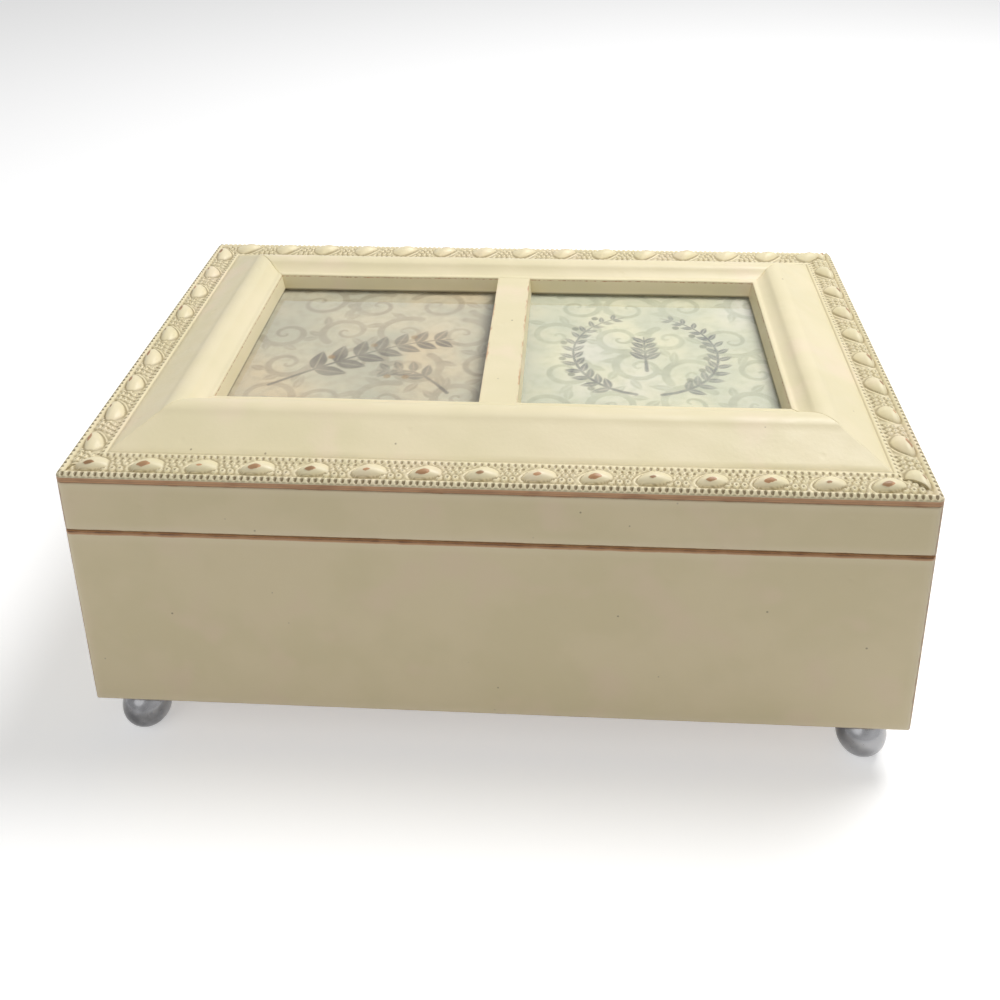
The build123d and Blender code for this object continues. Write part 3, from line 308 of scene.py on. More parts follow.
def mullion_paint():
    """Paint on the bar between the windows, rubbed in patches along its upper edges."""
    tree = Tree("mullion_paint")
    x, _, z = tree.axes()
    colour = paint_colour(tree)
    across = tree.math("SUBTRACT", MULLION_HALF * MM, tree.math("ABSOLUTE", x))
    down = tree.math("SUBTRACT", (LID_TOP + LIP_HEIGHT) * MM, z)
    edge = tree.math("MAXIMUM", tree.math("ABSOLUTE", across), down)
    ragged = tree.math("ADD", edge, tree.jitter(420.0, 4.0, 1.2 * MM))
    rubbed = tree.ramp(ragged, 0.1 * MM, 0.5 * MM, 1.0, 0.0)
    patches = tree.ramp(tree.noise(160.0, 2.0), 0.45, 0.60, 0.1, 0.8)
    colour = tree.mix(tree.math("MULTIPLY", rubbed, patches), colour, COPPER)
    return finish_paint(tree, colour)


def wood(name, light, dark, stretch):
    tree = Tree(name)
    grain = tree.noise(300.0, 5.0, stretch, 0.6)
    pores = tree.noise(1500.0, 2.0, stretch)
    colour = tree.mix(tree.ramp(grain, 0.35, 0.65), light, dark)
    colour = tree.mix(tree.ramp(pores, 0.60, 0.72, 0.0, 0.35), colour, dark)
    return tree.finish(colour, 0.62, tree.bump(grain, 0.0001, 0.4))


def fibreboard(name, light, dark):
    tree = Tree(name)
    colour = tree.mix(tree.ramp(tree.noise(1500.0, 4.0), 0.35, 0.65), light, dark)
    return tree.finish(colour, 0.78, tree.bump(tree.noise(2200.0, 3.0), 0.0001, 0.4))


def metal(name, light, dark, roughness, scratches=(1.0, 1.0, 1.0), scale=700.0, relief=0.12):
    tree = Tree(name)
    tarnish = tree.ramp(tree.noise(90.0, 4.0), 0.38, 0.70)
    colour = tree.mix(tarnish, light, dark)
    fine = tree.noise(scale, 3.0, scratches)
    gloss = tree.ramp(fine, 0.3, 0.7, roughness * 0.75, roughness * 1.3)
    return tree.finish(colour, gloss, tree.bump(fine, 0.00006, relief), Metallic=1.0)


def velvet():
    tree = Tree("velvet")
    nap = tree.noise(70.0, 3.0)
    colour = tree.mix(tree.ramp(nap, 0.35, 0.68), srgb(112, 26, 38), srgb(84, 16, 28))
    fibres = tree.noise(5200.0, 2.0)
    return tree.finish(
        colour,
        tree.ramp(fibres, 0.3, 0.7, 0.80, 0.95),
        tree.bump(fibres, 0.00025, 0.7),
        Sheen_Weight=0.7,
        Sheen_Roughness=0.35,
        Sheen_Tint=srgb(226, 150, 156),
    )


def clear(name, tint, roughness, ior):
    """Glass or acrylic that lets lamps through, with faint smears in its polish."""
    tree = Tree(name)
    smear = tree.ramp(tree.noise(34.0, 4.0), 0.45, 0.75, roughness, roughness + 0.008)
    material = tree.finish(tint, smear, None, Transmission_Weight=1.0, IOR=ior)
    passing = tree.nodes.new("ShaderNodeBsdfTransparent")
    passing.inputs["Color"].default_value = tint
    chooser = tree.nodes.new("ShaderNodeMixShader")
    rays = tree.nodes.new("ShaderNodeLightPath")
    tree.links.new(rays.outputs["Is Shadow Ray"], chooser.inputs[0])
    tree.links.new(tree.shader.outputs[0], chooser.inputs[1])
    tree.links.new(passing.outputs[0], chooser.inputs[2])
    tree.links.new(chooser.outputs[0], tree.output.inputs["Surface"])
    return material


def printed_card(name, papers, soft, strong, accent):
    """Mottled paper, its drawn ornament stored on the mesh as three inks."""
    tree = Tree(name)
    colour = tree.mix(tree.ramp(tree.noise(46.0, 4.0), 0.38, 0.62), papers[0], papers[1])
    colour = tree.mix(tree.ramp(tree.noise(27.0, 5.0), 0.50, 0.68), colour, papers[2])
    fade = tree.ramp(tree.noise(120.0, 3.0), 0.25, 0.75, 0.55, 1.0)
    colour = tree.mix(tree.ramp(tree.noise(420.0, 3.0), 0.40, 0.75, 0.0, 0.35), colour, papers[3])
    inks = (("soft", soft, 0.5), ("strong", strong, 0.85), ("accent", accent, 0.85))
    for ink, tone, share in inks:
        amount = tree.math("MULTIPLY", tree.math("MULTIPLY", tree.attribute(ink), fade), share)
        colour = tree.mix(amount, colour, tone)
    grain = tree.noise(3000.0, 2.0)
    return tree.finish(colour, 0.55, tree.bump(grain, 0.00003, 0.3))


# Mesh making


def mesh_piece(name, points, faces, material, body, sharp, replaced):
    """A piece from points in mm, in CAD nodes' place; edges over sharp degrees look hard."""
    mesh = bpy.data.meshes.new(name)
    points = np.asarray(points, dtype=np.float32) * MM
    loops = np.concatenate([np.asarray(f, dtype=np.int32) for f in faces])
    sizes = np.array([len(f) for f in faces], dtype=np.int32)
    starts = np.concatenate(([0], np.cumsum(sizes)[:-1])).astype(np.int32)
    mesh.vertices.add(len(points))
    mesh.vertices.foreach_set("co", points.ravel())
    mesh.loops.add(len(loops))
    mesh.loops.foreach_set("vertex_index", loops)
    mesh.polygons.add(len(sizes))
    mesh.polygons.foreach_set("loop_start", starts)
    mesh.polygons.foreach_set("use_smooth", np.ones(len(sizes), dtype=bool))
    mesh.update(calc_edges=True)
    mesh.validate()
    mesh.set_sharp_from_angle(angle=math.radians(sharp))
    mesh.materials.append(material)
    piece = bpy.data.objects.new(name, mesh)
    bpy.context.scene.collection.objects.link(piece)
    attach(piece, body)
    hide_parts(*replaced)
    return piece


def store(piece, name, values):
    """A number for each point of the mesh, which its material reads."""
    layer = piece.data.attributes.new(name, "FLOAT", "POINT")
    layer.data.foreach_set("value", np.asarray(values, dtype=np.float32).ravel())


def arc(start, middle, end, count):
    """Points after start on the arc through three points."""
    (ax, ay), (bx, by), (cx, cy) = start, middle, end
    d = 2 * (ax * (by - cy) + bx * (cy - ay) + cx * (ay - by))
    a2, b2, c2 = ax * ax + ay * ay, bx * bx + by * by, cx * cx + cy * cy
    ox = (a2 * (by - cy) + b2 * (cy - ay) + c2 * (ay - by)) / d
    oy = (a2 * (cx - bx) + b2 * (ax - cx) + c2 * (bx - ax)) / d
    first, half, last = (math.atan2(y - oy, x - ox) for x, y in (start, middle, end))
    full = 2 * math.pi
    span = (last - first) % full
    if (half - first) % full > span:
        span -= full
    radius = math.hypot(ax - ox, ay - oy)
    angles = [first + span * k / count for k in range(1, count + 1)]
    return [(ox + radius * math.cos(a), oy + radius * math.sin(a)) for a in angles]


# Carved moulding


def round_bump(distance, radius):
    return np.clip(1 - (distance / radius) ** 2, 0, 1)


def nearest_repeat(distance):
    """Distances along a rail, brought to the nearest repeat of the pattern."""
    return distance - LEAF_PITCH * np.round(distance / LEAF_PITCH)


def carve(s, u, first):
    """Relief in mm, bare wood, and dark hollows of the carved band, which are partly painted shade,
    at distances s and u in mm.
    """
    height = np.zeros_like(s)
    dark_and_shade = np.zeros_like(s)
    beside = (s / BEAD_PITCH - np.floor(s / BEAD_PITCH) - 0.5) * BEAD_PITCH
    # The bead pits are darkened partly with glaze, partly with painted shade.
    for centre, half_along, half_across, depth, dark in BEAD_PITS:
        pit = round_bump(np.hypot(beside / half_along, (u - centre) / half_across), 1.0)
        height -= depth * np.sqrt(pit)
        dark_and_shade = np.maximum(dark_and_shade, dark * np.clip(pit * 2.0, 0, 1))

    along = s - first
    turn = np.round(along / LEAF_PITCH)
    along = along - turn * LEAF_PITCH
    size = 1 + 0.06 * np.sin(turn * 2.7 + first)

    # The leaf leans along the rail; its crown lies near the beads and is rubbed bare there.
    across = u - LEAF_CROWN
    lean = along - 0.45 * across
    half = np.where(across < 0, 1.6, 3.7)
    reach = np.where(lean < 0, 3.5, 4.2) * size
    shape = (np.abs(lean) / reach) ** np.where(lean < 0, 2.0, 1.35) + (np.abs(across) / half) ** 1.8
    dome = np.clip(1 - shape, 0, 1) ** 0.72
    ground = np.clip((shape - 1.0) * 5, 0, 1)
    height += LEAF_HEIGHT * size * dome
    rim = np.exp(-(((np.sqrt(shape) - 1.16) / 0.07) ** 2))
    height += 0.22 * rim * (u > 2.3) * (u < 7.3) * (lean < 0)
    worn = 0.75 + 0.3 * np.sin(turn * 2.3 + first)
    spot = 1 - np.abs((lean - 0.1) / (2.1 * worn)) ** 1.3
    spot -= np.abs((across + 0.3 - 0.12 * lean) / (0.85 * worn)) ** 1.5
    wear = np.clip(spot * 1.6, 0, 1)
    # The spot is darker where its lean is below 0.9, more on some leaves than on others.
    spot_darkening = 0.5 + 0.5 * np.sin(turn * 1.9 + 1.0)
    dark_and_shade = np.maximum(dark_and_shade, 0.55 * spot_darkening * np.clip(spot * 2.0, 0, 1) * (lean < 0.9))

    # The rows of pearls slant, and each pearl has an eye, darkened with painted shade.
    for row, radius, places, tall in PEARLS:
        for place in places:
            away = np.hypot(nearest_repeat(along - place), u - row)
            eye = round_bump(away, radius * 0.46)
            height += (tall * np.sqrt(round_bump(away, radius)) - tall * 0.7 * eye) * ground
            dark_and_shade = np.maximum(dark_and_shade, 0.6 * eye * ground)
    # The small pits are darkened too, partly with painted shade.
    for place in SMALL_PITS:
        away = np.hypot(nearest_repeat(along - place), (u - SMALL_PIT_ROW) * 0.9)
        pit = round_bump(away, SMALL_PIT_RADIUS) * ground
        height -= SMALL_PIT_DEPTH * pit
        dark_and_shade = np.maximum(dark_and_shade, 0.4 * pit)
    return height, wear, dark_and_shade


def moulding_section():
    """The moulding's outline as (u, height) pairs, from its outer bottom corner over the top.

    In order: the wall, the carved band, the slope, the crest and cove, the lip and the underside.
    """
    wall = [(0.0, z) for z in (-0.4, -0.3, -0.2, 0.12, 0.22, 0.32, 0.9, 1.0)]
    plan = [(0.0, 1.05), (0.3, 1.45), (0.7, 1.92), (1.0, 2.05), (1.4, 1.95), (1.8, 1.55)]
    plan += [(2.1, 1.35), (3.0, 1.65), (4.2, 1.85), (5.6, 1.75), (7.3, 1.35), (7.7, 1.5)]
    plan += [(8.1, 1.9), (8.6, 1.95), (8.95, 1.85), (9.25, 1.62), (9.5, 1.65), (9.85, 2.04)]
    fine = np.arange(-1.0, 11.0, 0.02)
    heights = np.interp(fine, [p[0] for p in plan], [p[1] for p in plan])
    window = np.ones(9) / 9
    smooth = np.convolve(heights, window, mode="same")
    rows = np.concatenate(
        (np.arange(0.08, 2.2, 0.15), np.arange(2.25, 7.5, 0.2), np.arange(7.55, 9.7, 0.16))
    )
    band = [(float(u), float(np.interp(u, fine, smooth))) for u in rows]
    foot, shoulder = (9.8, 2.02), (19.0, 6.83)
    slope = [tuple(a + (b - a) * k / 9 for a, b in zip(foot, shoulder)) for k in range(10)]
    crest_end = (24.6, 7.4)
    crest = arc(slope[-1], (22.5, 8.0), crest_end, 12)
    cove = arc(crest_end, (26.2, 6.1), (28.0, 5.25), 7)
    lip = [(28.15, 5.28), (29.0, 5.28), (29.18, 5.2), (29.26, 5.02)]
    lip += [(29.32, 4.75), (29.45, 4.4), (29.65, 3.6), (30.2, 1.25)]
    under = [(30.3, 0.6), (27.0, 0.6), (27.0, -4.4), (8.0, -4.4), (8.0, -0.4)]
    return wall, band, slope, crest + cove, lip, under


def rail(name, turn, half_length, half_across, first, material):
    """One mitred rail of the moulding, turned about the box's upright axis."""
    wall, band, slope, curves, lip, under = moulding_section()
    section = wall + band + slope + curves + lip + under
    count = int(2 * half_length / COLUMN_PITCH)
    t = np.linspace(-1, 1, count)
    nominal = np.array([p[0] for p in section])[:, None]
    plain = np.array([p[1] for p in section])[:, None]
    radius = np.maximum(CORNER_ROUND - nominal, 0)
    straight = half_length - np.maximum(nominal, CORNER_ROUND)
    length = straight + radius * math.pi / 4
    s = t[None, :] * length
    past = np.clip(np.abs(s) - straight, 0, None)
    angle = np.where(radius > 0, past / np.maximum(radius, 1e-6), 0)
    along = np.sign(s) * (np.minimum(np.abs(s), straight) + radius * np.sin(angle))
    inward = nominal + radius * (1 - np.cos(angle))
    z = plain + np.zeros_like(s)
    u = nominal + np.zeros_like(s)

    carved = slice(len(wall), len(wall) + len(band))
    height, wear_top, dark_and_shade_top = carve(s[carved], u[carved], first)
    z[carved] += height
    smooth = slice(len(wall) + len(band), len(section) - len(under))
    wave = np.sin(s * 0.11 + first) * 0.05 + np.sin(s * 0.31 + u * 0.7) * 0.025
    z[smooth] += wave[smooth]
    # The mitres show as a fine groove.
    z[smooth, 0] -= 0.12
    z[smooth, -1] -= 0.12

    # Crevices keep a little glaze and painted shade: a point below the mean of its surroundings is
    # in one. The valley by the inner bead row gets painted shade as well.
    glaze_and_shade = np.zeros_like(z)
    relief = z[carved]
    mean = np.zeros_like(relief)
    reach = 3
    for k in range(-reach, reach + 1):
        rows = np.clip(np.arange(relief.shape[0]) + k, 0, relief.shape[0] - 1)
        mean += np.roll(relief, k, axis=1) + relief[rows]
    mean /= 2 * (2 * reach + 1)
    valley_shade = 0.34 * np.exp(-(((u[carved] - 6.6) / 1.1) ** 2))
    glaze_and_shade[carved] = np.clip((mean - relief) * 9.5 + valley_shade, 0, 0.85)
    wear = np.zeros_like(z)
    dark_and_shade = np.zeros_like(z)
    wear[carved] = wear_top
    dark_and_shade[carved] = dark_and_shade_top

    # Copper shows round the wall's foot, with two dark lines in it, and along the lip's edge.
    wear[0:7] = 1.0
    dark_and_shade[0:2] = 0.6
    dark_and_shade[4] = 0.5
    lip_start = len(section) - len(under) - len(lip)
    wear[lip_start + 4] = 0.62
    dark_and_shade[-len(under)] = 0.9

    x = along
    y = inward - half_across
    c, d = math.cos(math.radians(turn)), math.sin(math.radians(turn))
    points = np.stack((x * c - y * d, x * d + y * c, z + LID_TOP), axis=-1).reshape(-1, 3)
    rings = len(section)
    index = np.arange(rings * count).reshape(rings, count)
    below = np.roll(index, -1, axis=0)
    quads = np.stack((index[:, :-1], index[:, 1:], below[:, 1:], below[:, :-1]), axis=-1)
    faces = list(quads.reshape(-1, 4)) + [index[:, 0].copy(), index[::-1, -1].copy()]
    node = name.replace("carved_rail", "lid_moulding")
    piece = mesh_piece(name, points, faces, material, "lid", 50.0, (node,))
    for layer, values in (("glaze_and_shade", glaze_and_shade), ("wear", wear), ("dark_and_shade", dark_and_shade)):
        store(piece, layer, values)


# Picture cards


def drawn_line(px, py, line, width):
    """How much ink a tapering line leaves at each point."""
    ink = np.zeros_like(px)
    total = len(line) - 1
    for k in range(total):
        (x0, y0), (x1, y1) = line[k], line[k + 1]
        dx, dy = x1 - x0, y1 - y0
        share = np.clip(((px - x0) * dx + (py - y0) * dy) / (dx * dx + dy * dy + 1e-9), 0, 1)
        away = np.hypot(px - x0 - share * dx, py - y0 - share * dy)
        thick = width * (1 - 0.75 * (k + share) / total)
        ink = np.maximum(ink, np.clip((thick - away) / INK_EDGE + 0.5, 0, 1))
    return ink


def spiral(cx, cy, size, start, turns, hand):
    """A curl that winds in on its centre."""
    steps = 26
    line = []
    for k in range(steps + 1):
        share = k / steps
        angle = start + hand * turns * 2 * math.pi * share
        radius = size * (1 - share) ** 0.8
        line.append((cx + radius * math.cos(angle), cy + radius * math.sin(angle)))
    return line


def leaf_ink(px, py, x, y, angle, length, width):
    """A pointed leaf that grows from a point."""
    c, d = math.cos(angle), math.sin(angle)
    along = (px - x) * c + (py - y) * d
    across = -(px - x) * d + (py - y) * c
    share = np.clip(along / length, 0, 1)
    edge = width * np.sin(math.pi * share ** 0.8) * (along > 0) * (along < length)
    body = np.clip((edge - np.abs(across)) / INK_EDGE + 0.5, 0, 1) * (edge > 0.01)
    return body * (1 - 0.5 * np.exp(-((across / 0.22) ** 2)))


def scroll_ground(px, py, centre_x, seed):
    """Pale scrolls with leaves, spread over a card."""
    ink = np.zeros_like(px)
    chance = np.random.RandomState(seed)
    for row in range(4):
        for column in range(4):
            x = centre_x - 26 + column * SCROLL_PITCH + (row % 2) * 6 + chance.uniform(-2, 2)
            y = -26 + row * SCROLL_PITCH + chance.uniform(-2, 2)
            size = chance.uniform(6.5, 9.5)
            start = chance.uniform(0, 6.28)
            hand = -1 if (row + column) % 2 else 1
            ink = np.maximum(ink, drawn_line(px, py, spiral(x, y, size, start, 1.35, hand), 1.25))
            for k in range(3):
                angle = start + hand * (0.5 + 0.9 * k)
                leaf_x = x + size * 0.9 * math.cos(angle)
                leaf_y = y + size * 0.9 * math.sin(angle)
                leaf = leaf_ink(px, py, leaf_x, leaf_y, angle + hand * 0.9, size * 0.75, 1.3)
                ink = np.maximum(ink, leaf)
    return ink


def sprig(px, py, line, leaf_length, leaf_width, berries):
    """A stem with leaves in pairs, and berries between them."""
    strong = drawn_line(px, py, line, 0.55)
    accent = np.zeros_like(px)
    for k in range(2, len(line) - 1):
        (x0, y0), (x1, y1) = line[k - 1], line[k]
        ahead = math.atan2(y1 - y0, x1 - x0)
        shrink = 1 - 0.45 * k / len(line)
        length, width = leaf_length * shrink, leaf_width * shrink
        for hand in (-1, 1):
            leaf = leaf_ink(px, py, x1, y1, ahead + hand * 0.85, length, width)
            strong = np.maximum(strong, leaf)
        if berries and k % 2:
            bx = x1 + 3.2 * math.cos(ahead + 1.5)
            by = y1 + 3.2 * math.sin(ahead + 1.5)
            berry = np.clip((1.0 - np.hypot(px - bx, py - by)) / INK_EDGE + 0.5, 0, 1)
            accent = np.maximum(accent, berry)
    return strong, accent


def card(name, node, draw, material):
    """A printed card in the place of a CAD one, with the ornament drawn on its top."""
    low, high = (np.array(corner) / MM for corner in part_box(node))
    columns = int((high[0] - low[0]) / CARD_STEP)
    rows = int((high[1] - low[1]) / CARD_STEP)
    gx, gy = np.meshgrid(np.linspace(low[0], high[0], columns), np.linspace(low[1], high[1], rows))
    count = rows * columns
    top = np.stack((gx.ravel(), gy.ravel(), np.full(count, high[2])), axis=-1)
    index = np.arange(count).reshape(rows, columns)
    quads = np.stack((index[:-1, :-1], index[:-1, 1:], index[1:, 1:], index[1:, :-1]), axis=-1)
    rim = np.concatenate((index[0, :-1], index[:-1, -1], index[-1, :0:-1], index[:0:-1, 0]))
    lower = top[rim] * (1, 1, 0) + (0, 0, low[2])
    under = count + np.arange(len(rim))
    sides = np.stack((rim, under, np.roll(under, -1), np.roll(rim, -1)), axis=-1)
    faces = list(quads.reshape(-1, 4)) + list(sides) + [under[::-1].copy()]
    points = np.concatenate((top, lower))
    piece = mesh_piece(name, points, faces, material, "lid", 40.0, (node,))
    px, py = gx.ravel(), gy.ravel()
    for layer, values in zip(("soft", "strong", "accent"), draw(px, py, (low[0] + high[0]) / 2)):
        full = np.zeros(len(points))
        full[:count] = values
        store(piece, layer, full)


def left_drawing(px, py, centre_x):
    """Two sprigs over scrolls."""
    soft = scroll_ground(px, py, centre_x, 4)
    stem = [(centre_x - 24 + 5.2 * k, -20 + 26 * math.sin(k / 9 * 1.45)) for k in range(10)]
    strong, accent = sprig(px, py, stem, 10.5, 2.6, True)
    second = [(centre_x + 24 - 3.4 * k, -22 + 2.0 * k + 4 * math.sin(k * 0.6)) for k in range(7)]
    more, berries = sprig(px, py, second, 7.0, 1.7, True)
    return soft, np.maximum(strong, more), np.maximum(accent, berries)


def right_drawing(px, py, centre_x):
    """An open wreath round a small sprig, over scrolls."""
    soft = scroll_ground(px, py, centre_x, 11)
    strong = np.zeros_like(px)
    accent = np.zeros_like(px)
    for start, hand in ((-1.4, 1), (-1.74, -1)):
        angles = [start + hand * 2.7 * k / 15 for k in range(16)]
        ring = [(centre_x + 20 * math.cos(a), 21 * math.sin(a)) for a in angles]
        leaves, berries = sprig(px, py, ring, 5.8, 1.2, True)
        strong = np.maximum(strong, leaves)
        accent = np.maximum(accent, berries)
    middle = [(centre_x, -9 + 3.0 * k) for k in range(7)]
    leaves, berries = sprig(px, py, middle, 6.8, 1.5, False)
    return soft, np.maximum(strong, leaves), accent


# Screws


def lathe(outline):
    """A turned mesh from (radius, height) pairs that start and end on the axis."""
    segments = 40
    shape = bmesh.new()
    rings = []
    for radius, height in outline:
        if radius < 1e-6:
            rings.append([shape.verts.new((0, 0, height))])
            continue
        turns = [2 * math.pi * k / segments for k in range(segments)]
        circle = [(radius * math.cos(a), radius * math.sin(a), height) for a in turns]
        rings.append([shape.verts.new(point) for point in circle])
    for low, high in zip(rings, rings[1:]):
        for k in range(segments):
            n = (k + 1) % segments
            corners = [low[k % len(low)], low[n % len(low)]]
            corners += [high[n % len(high)], high[k % len(high)]]
            shape.faces.new(list(dict.fromkeys(corners)))
    bmesh.ops.recalc_face_normals(shape, faces=shape.faces)
    return shape


def round_head(head, head_height, shank, length):
    """Outline of a screw with a domed head, its height 0 under the head."""
    outline = [(0, head_height)]
    for k in range(1, 7):
        angle = math.pi / 2 * (1 - k / 6)
        outline.append((head * math.cos(angle), head_height * (0.35 + 0.65 * math.sin(angle))))
    return outline + [(head, 0.0), (shank, 0.0), (shank, -length + shank), (0, -length)]


def sunk_head(head, depth, shank, length):
    """Outline of a screw with a countersunk head, its height 0 on the head."""
    outline = [(0, 0.0), (head - 0.05, 0.0), (head, -0.05), (shank, -depth)]
    return outline + [(shank, shank - length), (0, -length)]


def slotted_screws(name, node, places, down, outline, slot_angle, material, body):
    """Slotted screws; a place is where the height 0 of the outline lies, in mm."""
    head = max(p[0] for p in outline)
    head_top = outline[0][1]
    shape = lathe(outline)
    mesh = bpy.data.meshes.new(name + "_one")
    shape.to_mesh(mesh)
    shape.free()
    single = bpy.data.objects.new(name + "_one", mesh)
    cutter_mesh = bpy.data.meshes.new(name + "_cut")
    block = bmesh.new()
    bmesh.ops.create_cube(block, size=1.0)
    for v in block.verts:
        v.co.x *= head * 3
        v.co.y *= head * SLOT_WIDTH
        v.co.z = v.co.z * head * 0.5 + head_top
    block.to_mesh(cutter_mesh)
    block.free()
    cutter = bpy.data.objects.new(name + "_cut", cutter_mesh)
    for o in (single, cutter):
        bpy.context.scene.collection.objects.link(o)
    cut = single.modifiers.new("slot", "BOOLEAN")
    cut.operation = "DIFFERENCE"
    cut.object = cutter
    bpy.context.view_layer.update()
    depsgraph = bpy.context.evaluated_depsgraph_get()
    solved = bpy.data.meshes.new_from_object(single.evaluated_get(depsgraph))
    count = len(solved.vertices)
    base = np.array([v.co[:] for v in solved.vertices])
    corners = [tuple(p.vertices) for p in solved.polygons]
    for o in (single, cutter):
        bpy.data.objects.remove(o)
    points, faces = [], []
    flip = -1 if down else 1
    for k, place in enumerate(places):
        angle = slot_angle + SLOT_TURN * k
        c, d = math.cos(angle), math.sin(angle)
        x, y = base[:, 0] * c - base[:, 1] * d, base[:, 0] * d + base[:, 1] * c
        points.append(np.stack((x, y * flip, base[:, 2] * flip), axis=-1) + np.array(place))
        faces += [[i + k * count for i in f] for f in corners]
    mesh_piece(name, np.concatenate(points), faces, material, body, 35.0, (node,))


# The part

# The walls and skirts take the upright faces' tint, which is painted shade.
PAINT_BASE = worn_paint(
    "base_paint", HALF_X, HALF_Y, BASE_BOTTOM, BASE_TOP, 0.7, 0.7, 0.3, FACE_SHADE_TINT
)
PAINT_LID = worn_paint(
    "lid_paint", HALF_X, HALF_Y, LID_BOTTOM, SKIRT_TOP, 0.8, 0.12, 0.25, FACE_SHADE_TINT
)
PAINT_CARVED = carved_paint()
# The limits lie far outside the box, so nothing inside is rubbed through.
PAINT_INSIDE = worn_paint("inside_paint", 200.0, 200.0, -50.0, 200.0, 0.5, 0.5, 0.5)
PINE = wood("pine", srgb(214, 186, 140), srgb(186, 150, 104), (0.25, 3.0, 3.0))
HARDBOARD = fibreboard("hardboard", srgb(146, 108, 72), srgb(112, 80, 52))
VELVET = velvet()
PEWTER = metal("pewter", srgb(158, 158, 160), srgb(104, 104, 106), 0.22)
BRASS = metal("brass", srgb(214, 178, 106), srgb(176, 138, 74), 0.28, (0.2, 1.0, 1.0))
BRIGHT_BRASS = metal(
    "cylinder_brass", srgb(226, 190, 112), srgb(196, 156, 84), 0.2, (0.15, 1.0, 1.0)
)
STEEL = metal("steel", srgb(190, 192, 196), srgb(148, 150, 156), 0.26, (1.0, 0.2, 1.0))
BLUED = metal("spring_steel", srgb(92, 98, 116), srgb(62, 66, 82), 0.3)
CASTING = metal(
    "gilt_casting", srgb(206, 176, 112), srgb(170, 140, 84), 0.42, scale=1600.0, relief=0.5
)
GLASS = clear("glass", srgb(252, 253, 251), 0.0, 1.5)
# A low index keeps the pane from mirroring a lamp over the whole movement.
ACRYLIC = clear("acrylic", srgb(252, 252, 252), 0.0, 1.12)

FINISHES = (
    (PAINT_BASE, ("base_front_wall", "base_back_wall", "base_left_wall", "base_right_wall")),
    (PAINT_LID, ("lid_front_skirt", "lid_back_skirt", "lid_left_skirt", "lid_right_skirt")),
    (mullion_paint(), ("lid_mullion",)),
    (PINE, ("bottom_panel",)),
    (PAINT_INSIDE, ("divider", "cover_cleats")),
    (HARDBOARD, ("backing_board_left", "backing_board_right")),
    (VELVET, ("lining_front", "lining_back", "lining_left", "lining_right", "lining_floor")),
    (PEWTER, ("ball_feet",)),
    (GLASS, ("glass_left", "glass_right")),
    (ACRYLIC, ("movement_cover_pane",)),
    (BRASS, ("hinge_base_leaves", "hinge_lid_leaves", "hinge_pins")),
    (BRASS, ("turn_button_front_left", "turn_button_front_right")),
    (BRASS, ("turn_button_back_left", "turn_button_back_right")),
    (BRASS, ("spring_barrel", "barrel_cover", "cylinder_pinion", "great_wheel")),
    (BRASS, ("governor_wheel", "governor_fly")),
    (BRIGHT_BRASS, ("music_cylinder",)),
    (CASTING, ("movement_bedplate", "cylinder_bearings", "governor_frame")),
    (STEEL, ("governor_pinion", "governor_worm", "cylinder_arbor", "comb", "key_arbor")),
    (STEEL, ("winding_key", "stop_bracket", "stop_lever")),
    (BLUED, ("mainspring",)),
)
for finish, nodes in FINISHES:
    for node in nodes:
        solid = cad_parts[node]
        if not solid.material_slots:
            solid.data.materials.append(finish)
        for place in solid.material_slots:
            place.material = finish

hinge_xs = [
    x + side for x in (-HINGE_X, HINGE_X) for side in (-HINGE_SCREW_SIDE, HINGE_SCREW_SIDE)
]
hinge_screw = sunk_head(1.5, 0.9, 0.9, 5.9)
base_places = [(x, HINGE_SCREW_Y, BASE_LEAF_TOP) for x in hinge_xs]
lid_places = [(x, HINGE_SCREW_Y, LID_LEAF_BOTTOM) for x in hinge_xs]
button_places = [
    (x, y, BUTTON_BOTTOM) for x in (-BUTTON_X, BUTTON_X) for y in (-BUTTON_Y, BUTTON_Y)
]
movement_places = [(x, y, PANEL_BOTTOM) for x, y in ((37.3, -14), (37.3, 10), (86.8, -14))]
comb_places = [(63.3, -24, COMB_TOP), (74.8, -24, COMB_TOP)]
slotted_screws(
    "base_hinge_screws", "hinge_base_screws", base_places, False, hinge_screw, 0.4, BRASS, "base"
)
slotted_screws(
    "lid_hinge_screws", "hinge_lid_screws", lid_places, True, hinge_screw, 1.1, BRASS, "lid"
)
slotted_screws(
    "button_screws", "turn_button_screws", button_places, True,
    round_head(2.5, 1.2, 1.2, 6.4), 0.7, BRASS, "lid",
)
slotted_screws(
    "movement_fixing_screws", "movement_screws", movement_places, True,
    round_head(2.5, 1.6, 1.25, 6.8), 0.2, STEEL, "base",
)
slotted_screws(
    "comb_fixing_screws", "comb_screws", comb_places, False,
    round_head(2.2, 1.3, 1.2, 6.0), 0.5, BLUED, "base",
)

rail("carved_rail_front", 0, HALF_X, HALF_Y, LEAF_START_LONG, PAINT_CARVED)
rail("carved_rail_right", 90, HALF_Y, HALF_X, LEAF_START_RIGHT, PAINT_CARVED)
rail("carved_rail_back", 180, HALF_X, HALF_Y, LEAF_START_LONG, PAINT_CARVED)
rail("carved_rail_left", 270, HALF_Y, HALF_X, LEAF_START_LEFT, PAINT_CARVED)

